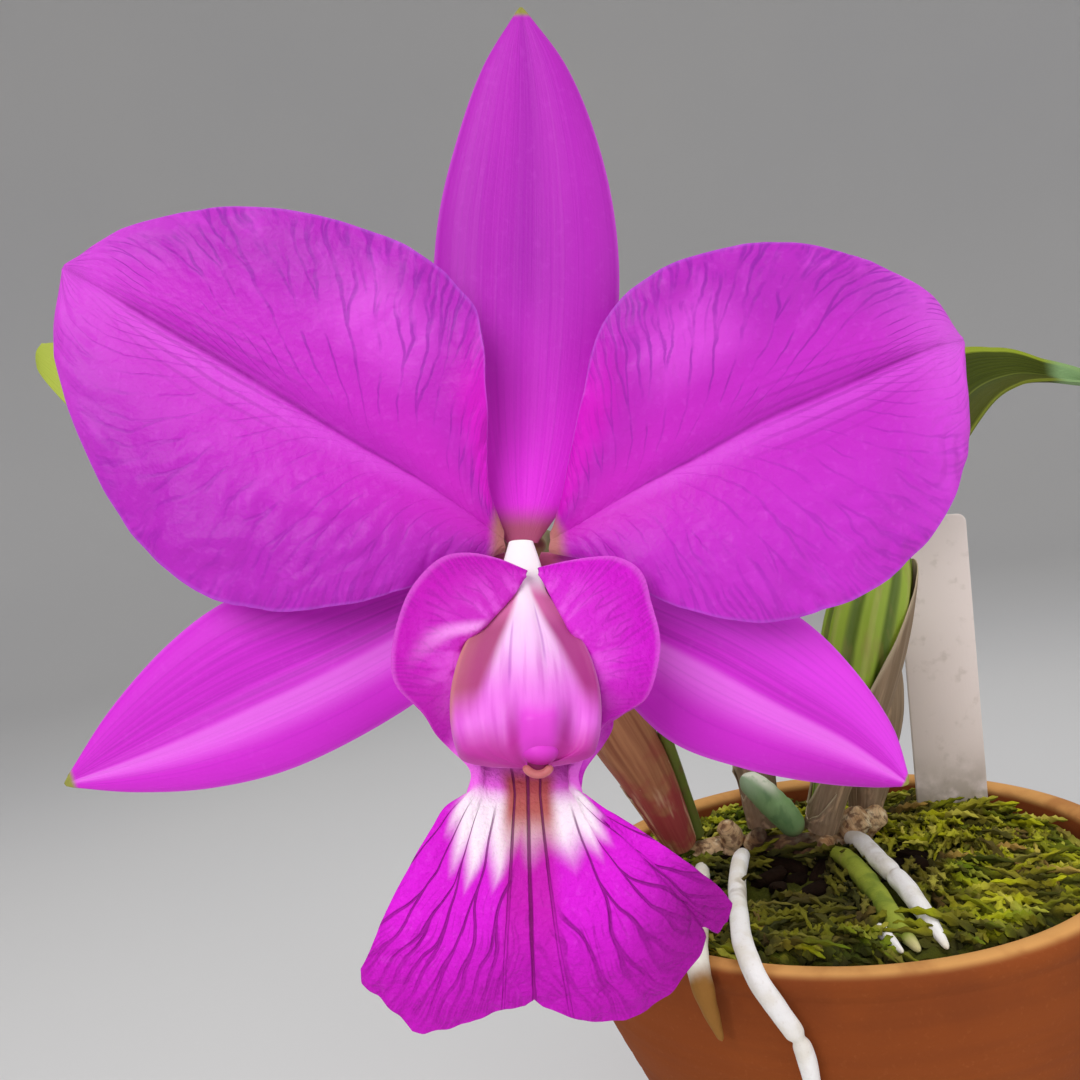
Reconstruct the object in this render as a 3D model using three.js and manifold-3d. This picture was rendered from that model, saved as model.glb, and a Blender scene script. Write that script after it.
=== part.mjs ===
// A cattleya orchid in flower, growing in a terracotta bowl pot filled with bark and moss.
// Millimetres, +Z up. The origin is the centre of the pot's flat bottom and the bloom faces -Y.
import * as THREE from 'three';
import { mergeVertices } from 'three/addons/utils/BufferGeometryUtils.js';
import Module from 'manifold-3d';

// ---- Driving dimensions ----
const GAP = 0.3;

const POT_HEIGHT = 80;
const POT_RIM_RADIUS = 57.5;
const POT_WALL = 5.6;
const POT_FLOOR = 6;
const POT_SIDES = 40;
const RIM_BAND_HEIGHT = 4.4;
// Outside of the wall from foot to rim band, as [radius, height].
const POT_SIDE = [[34.2, 1.2], [38.2, 15], [43.4, 30], [49.4, 45], [54.2, 57], [56.2, 67], [56.4, 75.2]];
// Heights at which the wall and its filling have an edge.
const WALL_HEIGHTS = [1.2, POT_FLOOR, 15, 27, 39, 50, 58, 66, 75.2];
const DRAIN_HOLE_RADIUS = 4;
const DRAIN_CIRCLE_RADIUS = 18;
const DRAIN_HOLES = 3;

const BARK_TOP = 66;
const MOSS_EDGE = 76.5;
const MOSS_CROWN = 2.6;
const MOSS_TUFT = 0.9;

const BLOOM_CENTRE = [-55.9, -102.2, 158.9];
const BLOOM_NOD = 2.7;
const BLOOM_ROLL = -8.2;
const SEPAL_THICKNESS = 0.9;
const PETAL_THICKNESS = 0.8;
const LIP_THICKNESS = 0.7;

const LEAF_THICKNESS = 1.7;
const LABEL_WIDTH = 16;
const LABEL_LENGTH = 105;
const LABEL_THICKNESS = 0.9;

// ---- Materials ----
const paint = (color, roughness) => new THREE.MeshStandardMaterial({ color, roughness, metalness: 0 });
const TERRACOTTA = paint(0xa8602c, 0.85);
const BARK = paint(0x3a2818, 0.95);
const MOSS = paint(0x6f8420, 0.95);
const BULB_GREEN = paint(0x6d7d2a, 0.6);
const LEAF_GREEN = paint(0x5c6a16, 0.45);
const STALK_GREEN = paint(0x66742c, 0.55);
const VELAMEN = paint(0xd8d0b4, 0.8);
const RHIZOME_TAN = paint(0x8f7450, 0.85);
const PURPLE = paint(0xc43cd6, 0.45);
const LIP_PURPLE = paint(0xcc28d2, 0.45);
const COLUMN_PINK = paint(0xe6a8ec, 0.4);
const ANTHER = paint(0xe48aea, 0.45);
const LABEL_WHITE = paint(0xdcd6d0, 0.6);

// ---- Helpers ----
const radians = THREE.MathUtils.degToRad;
const vector = (point) => new THREE.Vector3(...point);

/** A smooth curve through the points: place(t) for t from 0 to 1, the points evenly spaced in t. */
function through(points) {
  const curve = new THREE.CatmullRomCurve3(points.map(vector), false, 'catmullrom', 0.5);
  return (t) => curve.getPoint(Math.min(Math.max(t, 0), 1));
}

/** A smooth number through the values, evenly spaced in t. */
function values(list) {
  const curve = through(list.map((value) => [value, 0, 0]));
  return (t) => curve(t).x;
}

function geometryOf(positions, triangles) {
  const geometry = new THREE.BufferGeometry();
  geometry.setAttribute('position', new THREE.Float32BufferAttribute(positions, 3));
  geometry.setIndex(triangles);
  return geometry;
}

/**
 * A closed leaf-like solid: surface(u, v) for u from 0 to 1 and v from -1 to 1, moved half the
 * thickness each way along its normal. Both faces are split into triangles along the same diagonals.
 */
function blade(surface, rows, columns, thickness) {
  const step = 1e-3;
  const faces = [[], []];
  for (let i = 0; i <= rows; i += 1) {
    for (let j = 0; j <= columns; j += 1) {
      const u = i / rows;
      const v = (2 * j) / columns - 1;
      const along = surface(Math.min(u + step, 1), v).sub(surface(Math.max(u - step, 0), v));
      const across = surface(u, Math.min(v + step, 1)).sub(surface(u, Math.max(v - step, -1)));
      const half = along.cross(across).normalize().multiplyScalar(thickness / 2);
      const middle = surface(u, v);
      faces[0].push(...middle.clone().add(half).toArray());
      faces[1].push(...middle.clone().sub(half).toArray());
    }
  }
  const count = (rows + 1) * (columns + 1);
  const index = (i, j) => i * (columns + 1) + j;
  const triangles = [];
  for (let i = 0; i < rows; i += 1) {
    for (let j = 0; j < columns; j += 1) {
      const [a, b, c, d] = [index(i, j), index(i + 1, j), index(i + 1, j + 1), index(i, j + 1)];
      triangles.push(a, b, c, a, c, d);
      triangles.push(count + a, count + c, count + b, count + a, count + d, count + c);
    }
  }
  const rim = [];
  for (let j = 0; j < columns; j += 1) rim.push(index(0, j));
  for (let i = 0; i < rows; i += 1) rim.push(index(i, columns));
  for (let j = columns; j > 0; j -= 1) rim.push(index(rows, j));
  for (let i = rows; i > 0; i -= 1) rim.push(index(i, 0));
  rim.forEach((a, k) => {
    const b = rim[(k + 1) % rim.length];
    triangles.push(a, b, count + b, a, count + b, count + a);
  });
  return geometryOf([...faces[0], ...faces[1]], triangles);
}

/**
 * A closed stem-like solid: rings round path(u), each point at reach(u, angle) = [sideways, upwards]
 * from the path, where sideways is the part of `side` at right angles to the path.
 */
function stem(path, side, reach, rows, sides) {
  const step = 1e-3;
  const positions = [];
  for (let i = 0; i <= rows; i += 1) {
    const u = i / rows;
    const along = path(u + step > 1 ? 1 : u + step).sub(path(u - step < 0 ? 0 : u - step)).normalize();
    const sideways = vector(side).addScaledVector(along, -vector(side).dot(along)).normalize();
    const upwards = along.clone().cross(sideways);
    for (let j = 0; j < sides; j += 1) {
      const [x, y] = reach(u, (2 * Math.PI * j) / sides);
      positions.push(...path(u).addScaledVector(sideways, x).addScaledVector(upwards, y).toArray());
    }
  }
  const triangles = [];
  for (let i = 0; i < rows; i += 1) {
    for (let j = 0; j < sides; j += 1) {
      const k = (j + 1) % sides;
      const [a, b, c, d] = [i * sides + j, i * sides + k, (i + 1) * sides + k, (i + 1) * sides + j];
      triangles.push(a, b, c, a, c, d);
    }
  }
  const foot = positions.length / 3;
  positions.push(...path(0).toArray(), ...path(1).toArray());
  for (let j = 0; j < sides; j += 1) {
    const k = (j + 1) % sides;
    triangles.push(foot, k, j);
    triangles.push(foot + 1, rows * sides + j, rows * sides + k);
  }
  return geometryOf(positions, triangles);
}

/** A round stem whose radius runs smoothly through the radii; grow makes it thicker all over. */
function roundStem(points, radii, rows, sides, side = [1, 0, 0], grow = 0) {
  const radius = values(radii);
  const reach = (u, angle) => {
    const r = radius(u) + grow;
    return [r * Math.cos(angle), r * Math.sin(angle)];
  };
  return stem(through(points), side, reach, rows, sides);
}

const wasm = await Module();
wasm.setup();

function toSolid(geometry) {
  const bare = geometry.clone();
  bare.deleteAttribute('normal');
  bare.deleteAttribute('uv');
  const merged = mergeVertices(bare, 1e-4);
  const vertProperties = Float32Array.from(merged.attributes.position.array);
  const triVerts = Uint32Array.from(merged.index.array);
  return new wasm.Manifold(new wasm.Mesh({ numProp: 3, vertProperties, triVerts }));
}

function cut(geometry, tools) {
  const result = tools.reduce((solid, tool) => solid.subtract(toSolid(tool)), toSolid(geometry));
  const mesh = result.getMesh();
  return geometryOf(Array.from(mesh.vertProperties), Array.from(mesh.triVerts));
}

const orchid = new THREE.Group();
const bloom = new THREE.Group();
bloom.position.set(...BLOOM_CENTRE);
bloom.rotation.set(radians(90 - BLOOM_NOD), 0, radians(BLOOM_ROLL));
orchid.add(bloom);

function add(group, name, geometry, material) {
  const mesh = new THREE.Mesh(geometry, material);
  mesh.name = name;
  group.add(mesh);
}

// ---- Pot: a thrown terracotta bowl with a rounded rim band and drain holes round its middle ----
/** The outside radius of the pot's wall at a height. */
function wallRadius(height) {
  const side = through(POT_SIDE.map(([r, z]) => [r, z, 0]));
  let low = 0;
  let high = 1;
  for (let i = 0; i < 30; i += 1) {
    const middle = (low + high) / 2;
    if (side(middle).y < height) low = middle;
    else high = middle;
  }
  return side(low).x;
}

function potProfile() {
  const rim = POT_RIM_RADIUS;
  const foot = [[0, 0], [wallRadius(WALL_HEIGHTS[0]) - 1.2, 0]];
  const outside = WALL_HEIGHTS.map((z) => [wallRadius(z), z]);
  const band = [[rim, POT_HEIGHT - RIM_BAND_HEIGHT + 0.6], [rim, POT_HEIGHT - 1.2], [rim - 1.2, POT_HEIGHT]];
  const lip = [[rim - POT_WALL + 1.2, POT_HEIGHT], [rim - POT_WALL, POT_HEIGHT - 1.2]];
  const inside = WALL_HEIGHTS.slice(1).reverse().map((z) => [wallRadius(z) - POT_WALL, z]);
  return [...foot, ...outside, ...band, ...lip, ...inside, [0, POT_FLOOR]];
}

function turned(profile, sides) {
  const points = profile.map(([r, z]) => new THREE.Vector2(r, z));
  return new THREE.LatheGeometry(points, sides).rotateX(Math.PI / 2);
}

function drainHoles() {
  const holes = [];
  for (let i = 0; i < DRAIN_HOLES; i += 1) {
    const angle = (2 * Math.PI * (i + 0.25)) / DRAIN_HOLES;
    const hole = new THREE.CylinderGeometry(DRAIN_HOLE_RADIUS, DRAIN_HOLE_RADIUS, 3 * POT_FLOOR, 16);
    hole.rotateX(Math.PI / 2);
    hole.translate(DRAIN_CIRCLE_RADIUS * Math.cos(angle), DRAIN_CIRCLE_RADIUS * Math.sin(angle), 0);
    holes.push(hole);
  }
  return holes;
}

add(orchid, 'pot', cut(turned(potProfile(), POT_SIDES), drainHoles()), TERRACOTTA);

/** The radius of the filling at a height: the pot's inside less the gap that it keeps to the wall. */
const fillRadius = (height) => wallRadius(height) - POT_WALL - 2 * GAP;

// ---- Rhizome, roots and new shoot ----
const RHIZOME = [[15, 11, 78.5], [6, 7, 80], [-3.5, 1.5, 80.5], [-14, 5, 80.5], [-24, 7, 81],
  [-32.5, 5, 81.5]];
const RHIZOME_RADII = [2.2, 3.2, 3.4, 3, 3.2, 2.6];

const ROOTS = {
  root_front: {
    points: [[-20.6, -1.6, 83], [-22.7, -8.9, 84], [-25.4, -20, 84], [-27.4, -32, 83.6], [-28.9, -42, 83.2],
      [-29.1, -49.3, 82.1], [-28.2, -52.8, 79.6], [-26, -54.2, 75.4], [-23.4, -54.4, 70],
      [-22.4, -53.9, 63.5], [-21.4, -50.4, 52.5]],
    radii: [1.5, 1.7, 1.7, 1.7, 1.8, 1.8, 1.8, 1.7, 1.6, 1.5, 0.6],
  },
  root_left: {
    points: [[-29.6, -1.2, 81], [-31, -10, 82.4], [-33.5, -24, 82.8], [-36.2, -38, 82.8], [-37.4, -45, 81.8],
      [-37, -48.2, 76.4], [-35.4, -48.8, 69.2]],
    radii: [1.5, 1.7, 1.9, 2, 2.1, 1.9, 0.8],
  },
  root_right: {
    points: [[1.8, -1.6, 83], [2.6, -8, 84.2], [3.1, -17.2, 83.6], [4, -29, 82.6], [3.9, -40.6, 81.2],
      [3.8, -49.4, 79.6]],
    radii: [1.5, 1.8, 1.9, 1.9, 1.6, 1.1],
  },
  root_green: {
    points: [[-3, -3.4, 81.4], [-1.4, -10, 82], [-1, -19, 81.8], [-1, -27.5, 81.2], [-1.2, -39.3, 80.4],
      [-0.5, -48, 79.2]],
    radii: [1.4, 1.9, 2.1, 2.1, 1.9, 1.1],
  },
  root_small: {
    points: [[-9, -2, 79], [-8.6, -14, 77.6], [-7, -28, 77.4], [-5, -40, 78.3], [-4.4, -49.2, 79]],
    radii: [1.1, 1.3, 1.3, 1.3, 0.8],
  },
};

const rhizome = (grow) => roundStem(RHIZOME, RHIZOME_RADII, 15, 8, [0, 0, 1], grow);
const root = (form, grow) => roundStem(form.points, form.radii, 2 * form.points.length, 8, [1, 0, 0], grow);

const SHOOT = [[-8.5, -1.5, 85.6], [-11.5, -2.6, 90.6], [-15.6, -2.6, 96], [-19, -2.6, 99.6]];
const SHOOT_RADII = [2.2, 3, 2.9, 1.5];

add(orchid, 'rhizome', rhizome(0), RHIZOME_TAN);
add(orchid, 'new_shoot', roundStem(SHOOT, SHOOT_RADII, 9, 8), STALK_GREEN);
for (const [name, form] of Object.entries(ROOTS)) add(orchid, name, root(form, 0), VELAMEN);

// ---- Plant label: a blank plastic stake pushed into the bark ----
function label(grow) {
  const half = LABEL_WIDTH / 2 + grow;
  const shape = new THREE.Shape();
  shape.moveTo(-half + 2, LABEL_LENGTH);
  shape.lineTo(half - 2, LABEL_LENGTH);
  shape.quadraticCurveTo(half, LABEL_LENGTH, half, LABEL_LENGTH - 2);
  shape.lineTo(half, 14);
  shape.lineTo(0, -grow);
  shape.lineTo(-half, 14);
  shape.lineTo(-half, LABEL_LENGTH - 2);
  shape.quadraticCurveTo(-half, LABEL_LENGTH, -half + 2, LABEL_LENGTH);
  const depth = LABEL_THICKNESS + 2 * grow;
  const geometry = new THREE.ExtrudeGeometry(shape, { depth, bevelEnabled: false, curveSegments: 3 });
  geometry.translate(0, 0, -depth / 2);
  geometry.rotateX(Math.PI / 2);
  geometry.rotateZ(radians(-6));
  geometry.rotateY(radians(3.8));
  return geometry.translate(29.6, 22.4, 41);
}

add(orchid, 'plant_label', label(0), LABEL_WHITE);

// ---- Bark filling and the moss cushion on it, with plain holes for what stands in them ----
/** Moss height at a place: a low crown, lower at the back right, with soft tufts. */
function mossHeight(x, y) {
  const radius = Math.hypot(x, y) / POT_RIM_RADIUS;
  const crown = MOSS_CROWN * (1 - radius * radius);
  const slope = -0.025 * x - 0.035 * y;
  const tufts = Math.sin(0.42 * x + 1.3) * Math.cos(0.37 * y) + 0.6 * Math.sin(0.71 * x - 0.55 * y);
  return MOSS_EDGE + crown + slope + MOSS_TUFT * tufts * Math.min(1, 4 * (1 - radius));
}

function mossCushion() {
  const rings = 8;
  const sides = 32;
  const floor = BARK_TOP + GAP;
  const positions = [0, 0, mossHeight(0, 0), 0, 0, floor];
  const edge = fillRadius(75);
  for (let i = 1; i <= rings; i += 1) {
    for (let j = 0; j < sides; j += 1) {
      const angle = (2 * Math.PI * j) / sides;
      const [x, y] = [(edge * i / rings) * Math.cos(angle), (edge * i / rings) * Math.sin(angle)];
      positions.push(x, y, mossHeight(x, y));
    }
  }
  for (let j = 0; j < sides; j += 1) {
    const angle = (2 * Math.PI * j) / sides;
    const foot = fillRadius(floor);
    positions.push(foot * Math.cos(angle), foot * Math.sin(angle), floor);
  }
  const index = (i, j) => 2 + (i - 1) * sides + (j % sides);
  const triangles = [];
  for (let j = 0; j < sides; j += 1) {
    triangles.push(0, index(1, j), index(1, j + 1));
    for (let i = 1; i <= rings; i += 1) {
      const [a, b, c, d] = [index(i, j), index(i + 1, j), index(i + 1, j + 1), index(i, j + 1)];
      triangles.push(a, b, c, a, c, d);
    }
    triangles.push(1, index(rings + 1, j + 1), index(rings + 1, j));
  }
  return geometryOf(positions, triangles);
}

function barkFill() {
  const floor = [[0, POT_FLOOR + GAP], [fillRadius(POT_FLOOR), POT_FLOOR + GAP]];
  const side = WALL_HEIGHTS.filter((z) => z > POT_FLOOR && z <= BARK_TOP).map((z) => [fillRadius(z), z]);
  return turned([...floor, ...side, [0, BARK_TOP]], POT_SIDES);
}

const sunk = [rhizome(GAP), ...Object.values(ROOTS).map((form) => root(form, GAP)), label(GAP)];
add(orchid, 'moss', cut(mossCushion(), sunk), MOSS);
add(orchid, 'bark_filling', cut(barkFill(), [label(GAP)]), BARK);

// ---- Pseudobulbs: swollen ridged stems with a papery sheath wrapped round the lower part ----
const BULBS = {
  pseudobulb_lead: {
    points: [[-33, 3.6, 85.2], [-36, -0.6, 94.6], [-39.2, -3.8, 104], [-43.4, -6.8, 114.4],
      [-48.6, -11.4, 127.4], [-54.6, -20.4, 144.4]],
    radii: [2.8, 3.9, 5, 5.9, 5.2, 2.4],
    sheath: 0.66,
  },
  pseudobulb_right: {
    points: [[-3.5, 0, 85.2], [-0.2, -1.8, 96], [4.4, -4, 109], [8.6, -6.6, 124.6], [13.2, -7.4, 138],
      [16.9, -7.5, 147]],
    radii: [2.8, 3.6, 6.2, 7.9, 6.8, 3],
    sheath: 0.42,
  },
  pseudobulb_back: {
    points: [[-14, 7, 85], [-14, 9, 98], [-13, 11.6, 114], [-11, 13.4, 132], [-8.4, 14, 149]],
    radii: [2.8, 3.8, 6.6, 6.2, 2.6],
    sheath: 0.35,
  },
  pseudobulb_old: {
    points: [[8.5, 8.6, 84.6], [11, 10, 94], [14, 12, 106], [15.8, 13.4, 116], [16.8, 14.2, 124]],
    radii: [2.6, 4.4, 6, 5.2, 2],
    sheath: 0.8,
  },
};
const BULB_RIDGES = 7;
const BULB_RIDGE_DEPTH = 0.05;
const SHEATH_THICKNESS = 0.5;

function pseudobulb(form) {
  const radius = values(form.radii);
  const reach = (u, angle) => {
    const ridge = 1 + BULB_RIDGE_DEPTH * Math.cos(BULB_RIDGES * angle) * Math.min(1, 4 * u);
    const sheathEdge = form.sheath + 0.06 * Math.sin(angle);
    const sheath = u < sheathEdge ? SHEATH_THICKNESS : 0;
    const r = radius(u) * (sheath ? 1 : ridge) + sheath;
    return [r * Math.cos(angle), r * Math.sin(angle)];
  };
  return stem(through(form.points), [1, 0, 0], reach, 14, 2 * BULB_RIDGES);
}

for (const [name, form] of Object.entries(BULBS)) add(orchid, name, pseudobulb(form), BULB_GREEN);

// ---- Leaves: thick leathery blades folded along the midrib ----
const LEAVES = {
  leaf_lead: {
    midrib: [[-54.7, -21.2, 145.2], [-63, -25, 158.2], [-80, -29.4, 172.2], [-99, -33, 182.8],
      [-118, -36, 191.4], [-134.4, -38.4, 198.4]],
    halfWidths: [2.2, 9, 16, 18.6, 15.4, 9],
    face: [0.2, -0.7, 0.68],
    fold: 0.16,
    curl: -3,
  },
  leaf_right: {
    midrib: [[17.2, -7.5, 147.9], [28.4, -2.9, 161.3], [40, 1.6, 171.2], [49.9, 4.7, 173.9],
      [58.3, 6.6, 172.9], [67.6, 8.5, 170.4]],
    halfWidths: [2.4, 9.4, 11.4, 8.4, 4.8, 2],
    face: [-0.2, -0.75, 0.63],
    fold: 0.2,
    curl: 2,
  },
  leaf_back: {
    midrib: [[-8, 14.1, 150], [-2, 18, 162], [6, 24, 175], [15, 32, 187], [24, 40, 194]],
    halfWidths: [2.2, 9, 14, 12, 7],
    face: [0.1, -0.8, 0.6],
    fold: 0.18,
    curl: -2,
  },
};

// Share of the length at which a leaf starts to round off into its blunt tip.
const LEAF_TIP_START = 0.88;

function leafSurface(form) {
  const midrib = through(form.midrib);
  const halfWidth = values(form.halfWidths);
  const face = vector(form.face).normalize();
  return (u, v) => {
    const step = 1e-3;
    const along = midrib(Math.min(u + step, 1)).sub(midrib(Math.max(u - step, 0))).normalize();
    const across = along.clone().cross(face).normalize();
    const upright = across.clone().cross(along);
    const tip = Math.max(0, (u - LEAF_TIP_START) / (1 - LEAF_TIP_START));
    const reach = halfWidth(u) * v * Math.sqrt(1 - 0.97 * tip * tip);
    const lift = form.fold * Math.abs(reach) + form.curl * v * v * u ** 4;
    return midrib(u).addScaledVector(across, reach).addScaledVector(upright, lift);
  };
}

for (const [name, form] of Object.entries(LEAVES)) {
  add(orchid, name, blade(leafSurface(form), 14, 6, LEAF_THICKNESS), LEAF_GREEN);
}

// ---- Flower stalk with its ribbed ovary behind the bloom ----
const STALK = [[-28.8, 7.2, 85], [-30.2, 4.8, 93], [-34, -6, 111.6], [-39, -27, 135], [-47, -58, 152],
  [-54, -84, 158.4], [-55.9, -97.4, 158.2]];
const STALK_RADII = [1.7, 1.5, 1.35, 1.35, 1.4, 1.9, 2.6];
const OVARY_START = 0.72;

function flowerStalk() {
  const radius = values(STALK_RADII);
  const reach = (u, angle) => {
    const ribs = u > OVARY_START ? 1 + 0.09 * Math.cos(3 * angle) : 1;
    const r = radius(u) * ribs;
    return [r * Math.cos(angle), r * Math.sin(angle)];
  };
  return stem(through(STALK), [1, 0, 0], reach, 24, 9);
}

add(orchid, 'flower_stalk', flowerStalk(), STALK_GREEN);

// ---- Sepals and petals, in the bloom's own frame: X right, Y up, Z towards the viewer ----
// Each station runs from base to tip: [upper or left edge], [midrib], [lower or right edge], depth.
const DORSAL_SEPAL = [
  [[-1.6, 0.2], [0.2, 0.2], [2, 0.2], -2.8],
  [[-6.2, 7.6], [0.2, 7.6], [6.6, 7.6], -3.2],
  [[-9.4, 18.1], [0.3, 18.1], [10.1, 18.1], -3.5],
  [[-10.3, 28.8], [0.5, 28.8], [11.5, 28.8], -3.8],
  [[-9.7, 38.8], [0.7, 38.8], [11, 38.8], -4.2],
  [[-7.4, 48.4], [0.8, 48.4], [8.8, 48.4], -4.5],
  [[-4.4, 56.7], [0.5, 56.7], [5.3, 56.7], -4.7],
  [[-0.3, 63.4], [0, 63.5], [0.3, 63.4], -5],
];
const LATERAL_SEPAL_LEFT = [
  [[-1.6, -0.9], [-1.2, -2], [-0.6, -3.2], -2.8],
  [[-7.6, -1.2], [-6.8, -5.3], [-4.1, -9.4], -3.3],
  [[-16.5, -2], [-14.1, -9.8], [-9.4, -16.1], -3.7],
  [[-25.9, -3.9], [-22.4, -14.1], [-17.1, -21.5], -3.9],
  [[-34.7, -6.7], [-31.2, -18.2], [-27.1, -26.4], -4],
  [[-41.8, -12], [-38.8, -21.8], [-36.5, -28.7], -4],
  [[-48.4, -19.6], [-45.8, -24.9], [-45.2, -29.1], -3.8],
  [[-53.2, -27.5], [-53.3, -27.9], [-53, -28.3], -3.4],
];
const LATERAL_SEPAL_RIGHT = [
  [[2.4, -0.9], [2, -2], [1.4, -3.2], -2.8],
  [[9, -1.3], [7.6, -5.3], [5.2, -9], -3.3],
  [[17, -2], [14.6, -9.8], [10.5, -15.9], -3.7],
  [[25.8, -4.7], [22.9, -13.9], [17.6, -23.1], -3.9],
  [[33.5, -9.1], [30.5, -18.2], [26.4, -26.4], -4],
  [[39.3, -14.9], [37.6, -22.1], [35.2, -28.1], -4],
  [[43.7, -21.5], [42.4, -25.5], [41.3, -28.5], -3.8],
  [[45.4, -27.5], [45.3, -27.9], [45, -28.2], -3.4],
];
const PETAL_LEFT = [
  [[-2.3, 2], [-2.1, 0.6], [-1.9, -0.8], -1.3],
  [[-3.7, 7.4], [-5.6, 3.4], [-5.9, -2.3], 0.4],
  [[-3.7, 16.9], [-11.2, 7.3], [-11.8, -4.5], 1.6],
  [[-4.9, 25.9], [-18.4, 11.5], [-18.9, -6.5], 2.3],
  [[-11.8, 32.5], [-26, 16.2], [-28.3, -7.2], 2.6],
  [[-22.3, 36.4], [-33.7, 20.9], [-37, -4.3], 2.4],
  [[-34, 37.6], [-41.2, 25.3], [-45.3, 4.2], 1.7],
  [[-44.4, 35.7], [-47.4, 29], [-52.4, 20.6], 0.6],
  [[-52, 32.2], [-52.3, 31.8], [-52.5, 31.3], -1],
];
const PETAL_RIGHT = [
  [[3.8, 1.7], [3.6, 0.5], [3.4, -0.9], -1.3],
  [[4.9, 6.2], [7.4, 2.8], [8, -1.9], 0.4],
  [[6.7, 15.4], [13.5, 6.5], [13.5, -5], 1.6],
  [[9.5, 25], [20.2, 10.1], [20.2, -7.6], 2.3],
  [[16.3, 30.6], [27.3, 14.1], [29, -8.4], 2.6],
  [[26, 33.4], [34.5, 17.2], [38.3, -5.2], 2.4],
  [[36.9, 32.4], [41.3, 20.2], [45.8, 0.9], 1.7],
  [[45.9, 28.4], [46.8, 22.4], [50.5, 10.7], 0.6],
  [[50.4, 23.8], [50.7, 23.4], [50.8, 22.7], -1],
];

/** Relief across a blade: sides lifted forwards by channel, edges rolled back by reflex, then waved. */
const SEPAL_RELIEF = { channel: 0.9, reflex: 1.9, waves: 2, waveHeight: 0.15, fold: 0 };
const PETAL_RELIEF = { channel: 3.4, reflex: 2.6, waves: 5, waveHeight: 0.45, fold: 1.6 };

function tepalSurface(stations, relief) {
  const edgeCurve = (k) => through(stations.map((station) => [...station[k], station[3]]));
  const [first, midrib, last] = [edgeCurve(0), edgeCurve(1), edgeCurve(2)];
  return (u, v) => {
    const away = Math.abs(v);
    const point = midrib(u).lerp(v < 0 ? first(u) : last(u), away);
    const open = Math.sin(Math.PI * Math.min(Math.max(u, 0), 1)) ** 0.8;
    point.z += relief.channel * open * away ** 1.3 - relief.reflex * open * away ** 4;
    point.z += relief.waveHeight * open * away ** 3 * Math.sin(2 * Math.PI * relief.waves * u + v);
    if (v < 0) point.z += relief.fold * away ** 3 * Math.exp(-(((u - 0.3) / 0.16) ** 2));
    return point;
  };
}

const TEPALS = [
  ['dorsal_sepal', DORSAL_SEPAL, SEPAL_RELIEF, SEPAL_THICKNESS, 14, 6],
  ['lateral_sepal_left', LATERAL_SEPAL_LEFT, SEPAL_RELIEF, SEPAL_THICKNESS, 14, 6],
  ['lateral_sepal_right', LATERAL_SEPAL_RIGHT, SEPAL_RELIEF, SEPAL_THICKNESS, 14, 6],
  ['petal_left', PETAL_LEFT, PETAL_RELIEF, PETAL_THICKNESS, 18, 10],
  ['petal_right', PETAL_RIGHT, PETAL_RELIEF, PETAL_THICKNESS, 18, 10],
];
for (const [name, stations, relief, thickness, rows, columns] of TEPALS) {
  add(bloom, name, blade(tepalSurface(stations, relief), rows, columns, thickness), PURPLE);
}

// ---- Column: the fused centre of the flower, narrow at its base and winged near its tip ----
const COLUMN_BASE = [0.1, 0.1, 0.6];
const COLUMN_TIP = [1, -22, 16.2];
const COLUMN_HALF_WIDTHS = [1.4, 1.7, 2.6, 4.7, 6.4, 7.2, 7.5, 7.1, 5.2];
const COLUMN_FRONT = [0.8, 1.2, 1.7, 2.2, 2.9, 3.7, 4.3, 4, 2.2];
const COLUMN_BACK = [1, 1.2, 1.3, 1.4, 1.5, 1.6, 1.7, 1.6, 1];
// How deeply the flanks are hollowed beside the keel, and the keel's share of the half-width.
const COLUMN_HOLLOW = [0, 0.2, 0.6, 0.8, 0.8, 0.55, 0.2, 0, 0];
const KEEL_SHARE = 0.5;
const ANTHER_AT = 0.94;
const ANTHER_RADII = [1.8, 1.5, 1.5];

const columnLine = through([COLUMN_BASE, COLUMN_TIP]);

function column() {
  const width = values(COLUMN_HALF_WIDTHS);
  const front = values(COLUMN_FRONT);
  const back = values(COLUMN_BACK);
  const hollow = values(COLUMN_HOLLOW);
  const reach = (u, angle) => {
    const side = Math.cos(angle);
    const rise = Math.sin(angle);
    const keel = 1 - hollow(u) * (1 - Math.exp(-((side / KEEL_SHARE) ** 2)));
    const depth = rise > 0 ? front(u) * keel * Math.sqrt(rise) : back(u) * rise;
    return [width(u) * side, depth];
  };
  return stem(columnLine, [1, 0, 0], reach, 16, 20);
}

function antherCap(grow) {
  const cap = new THREE.SphereGeometry(1, 12, 8);
  const [x, y, z] = ANTHER_RADII;
  cap.scale(x + grow, y + grow, z + grow);
  cap.rotateX(radians(35));
  const place = columnLine(ANTHER_AT);
  return cap.translate(place.x + 1.5, place.y + 1, place.z + 2.6);
}

add(bloom, 'column', cut(column(), [antherCap(GAP)]), COLUMN_PINK);
add(bloom, 'anther_cap', antherCap(0), ANTHER);

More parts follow.
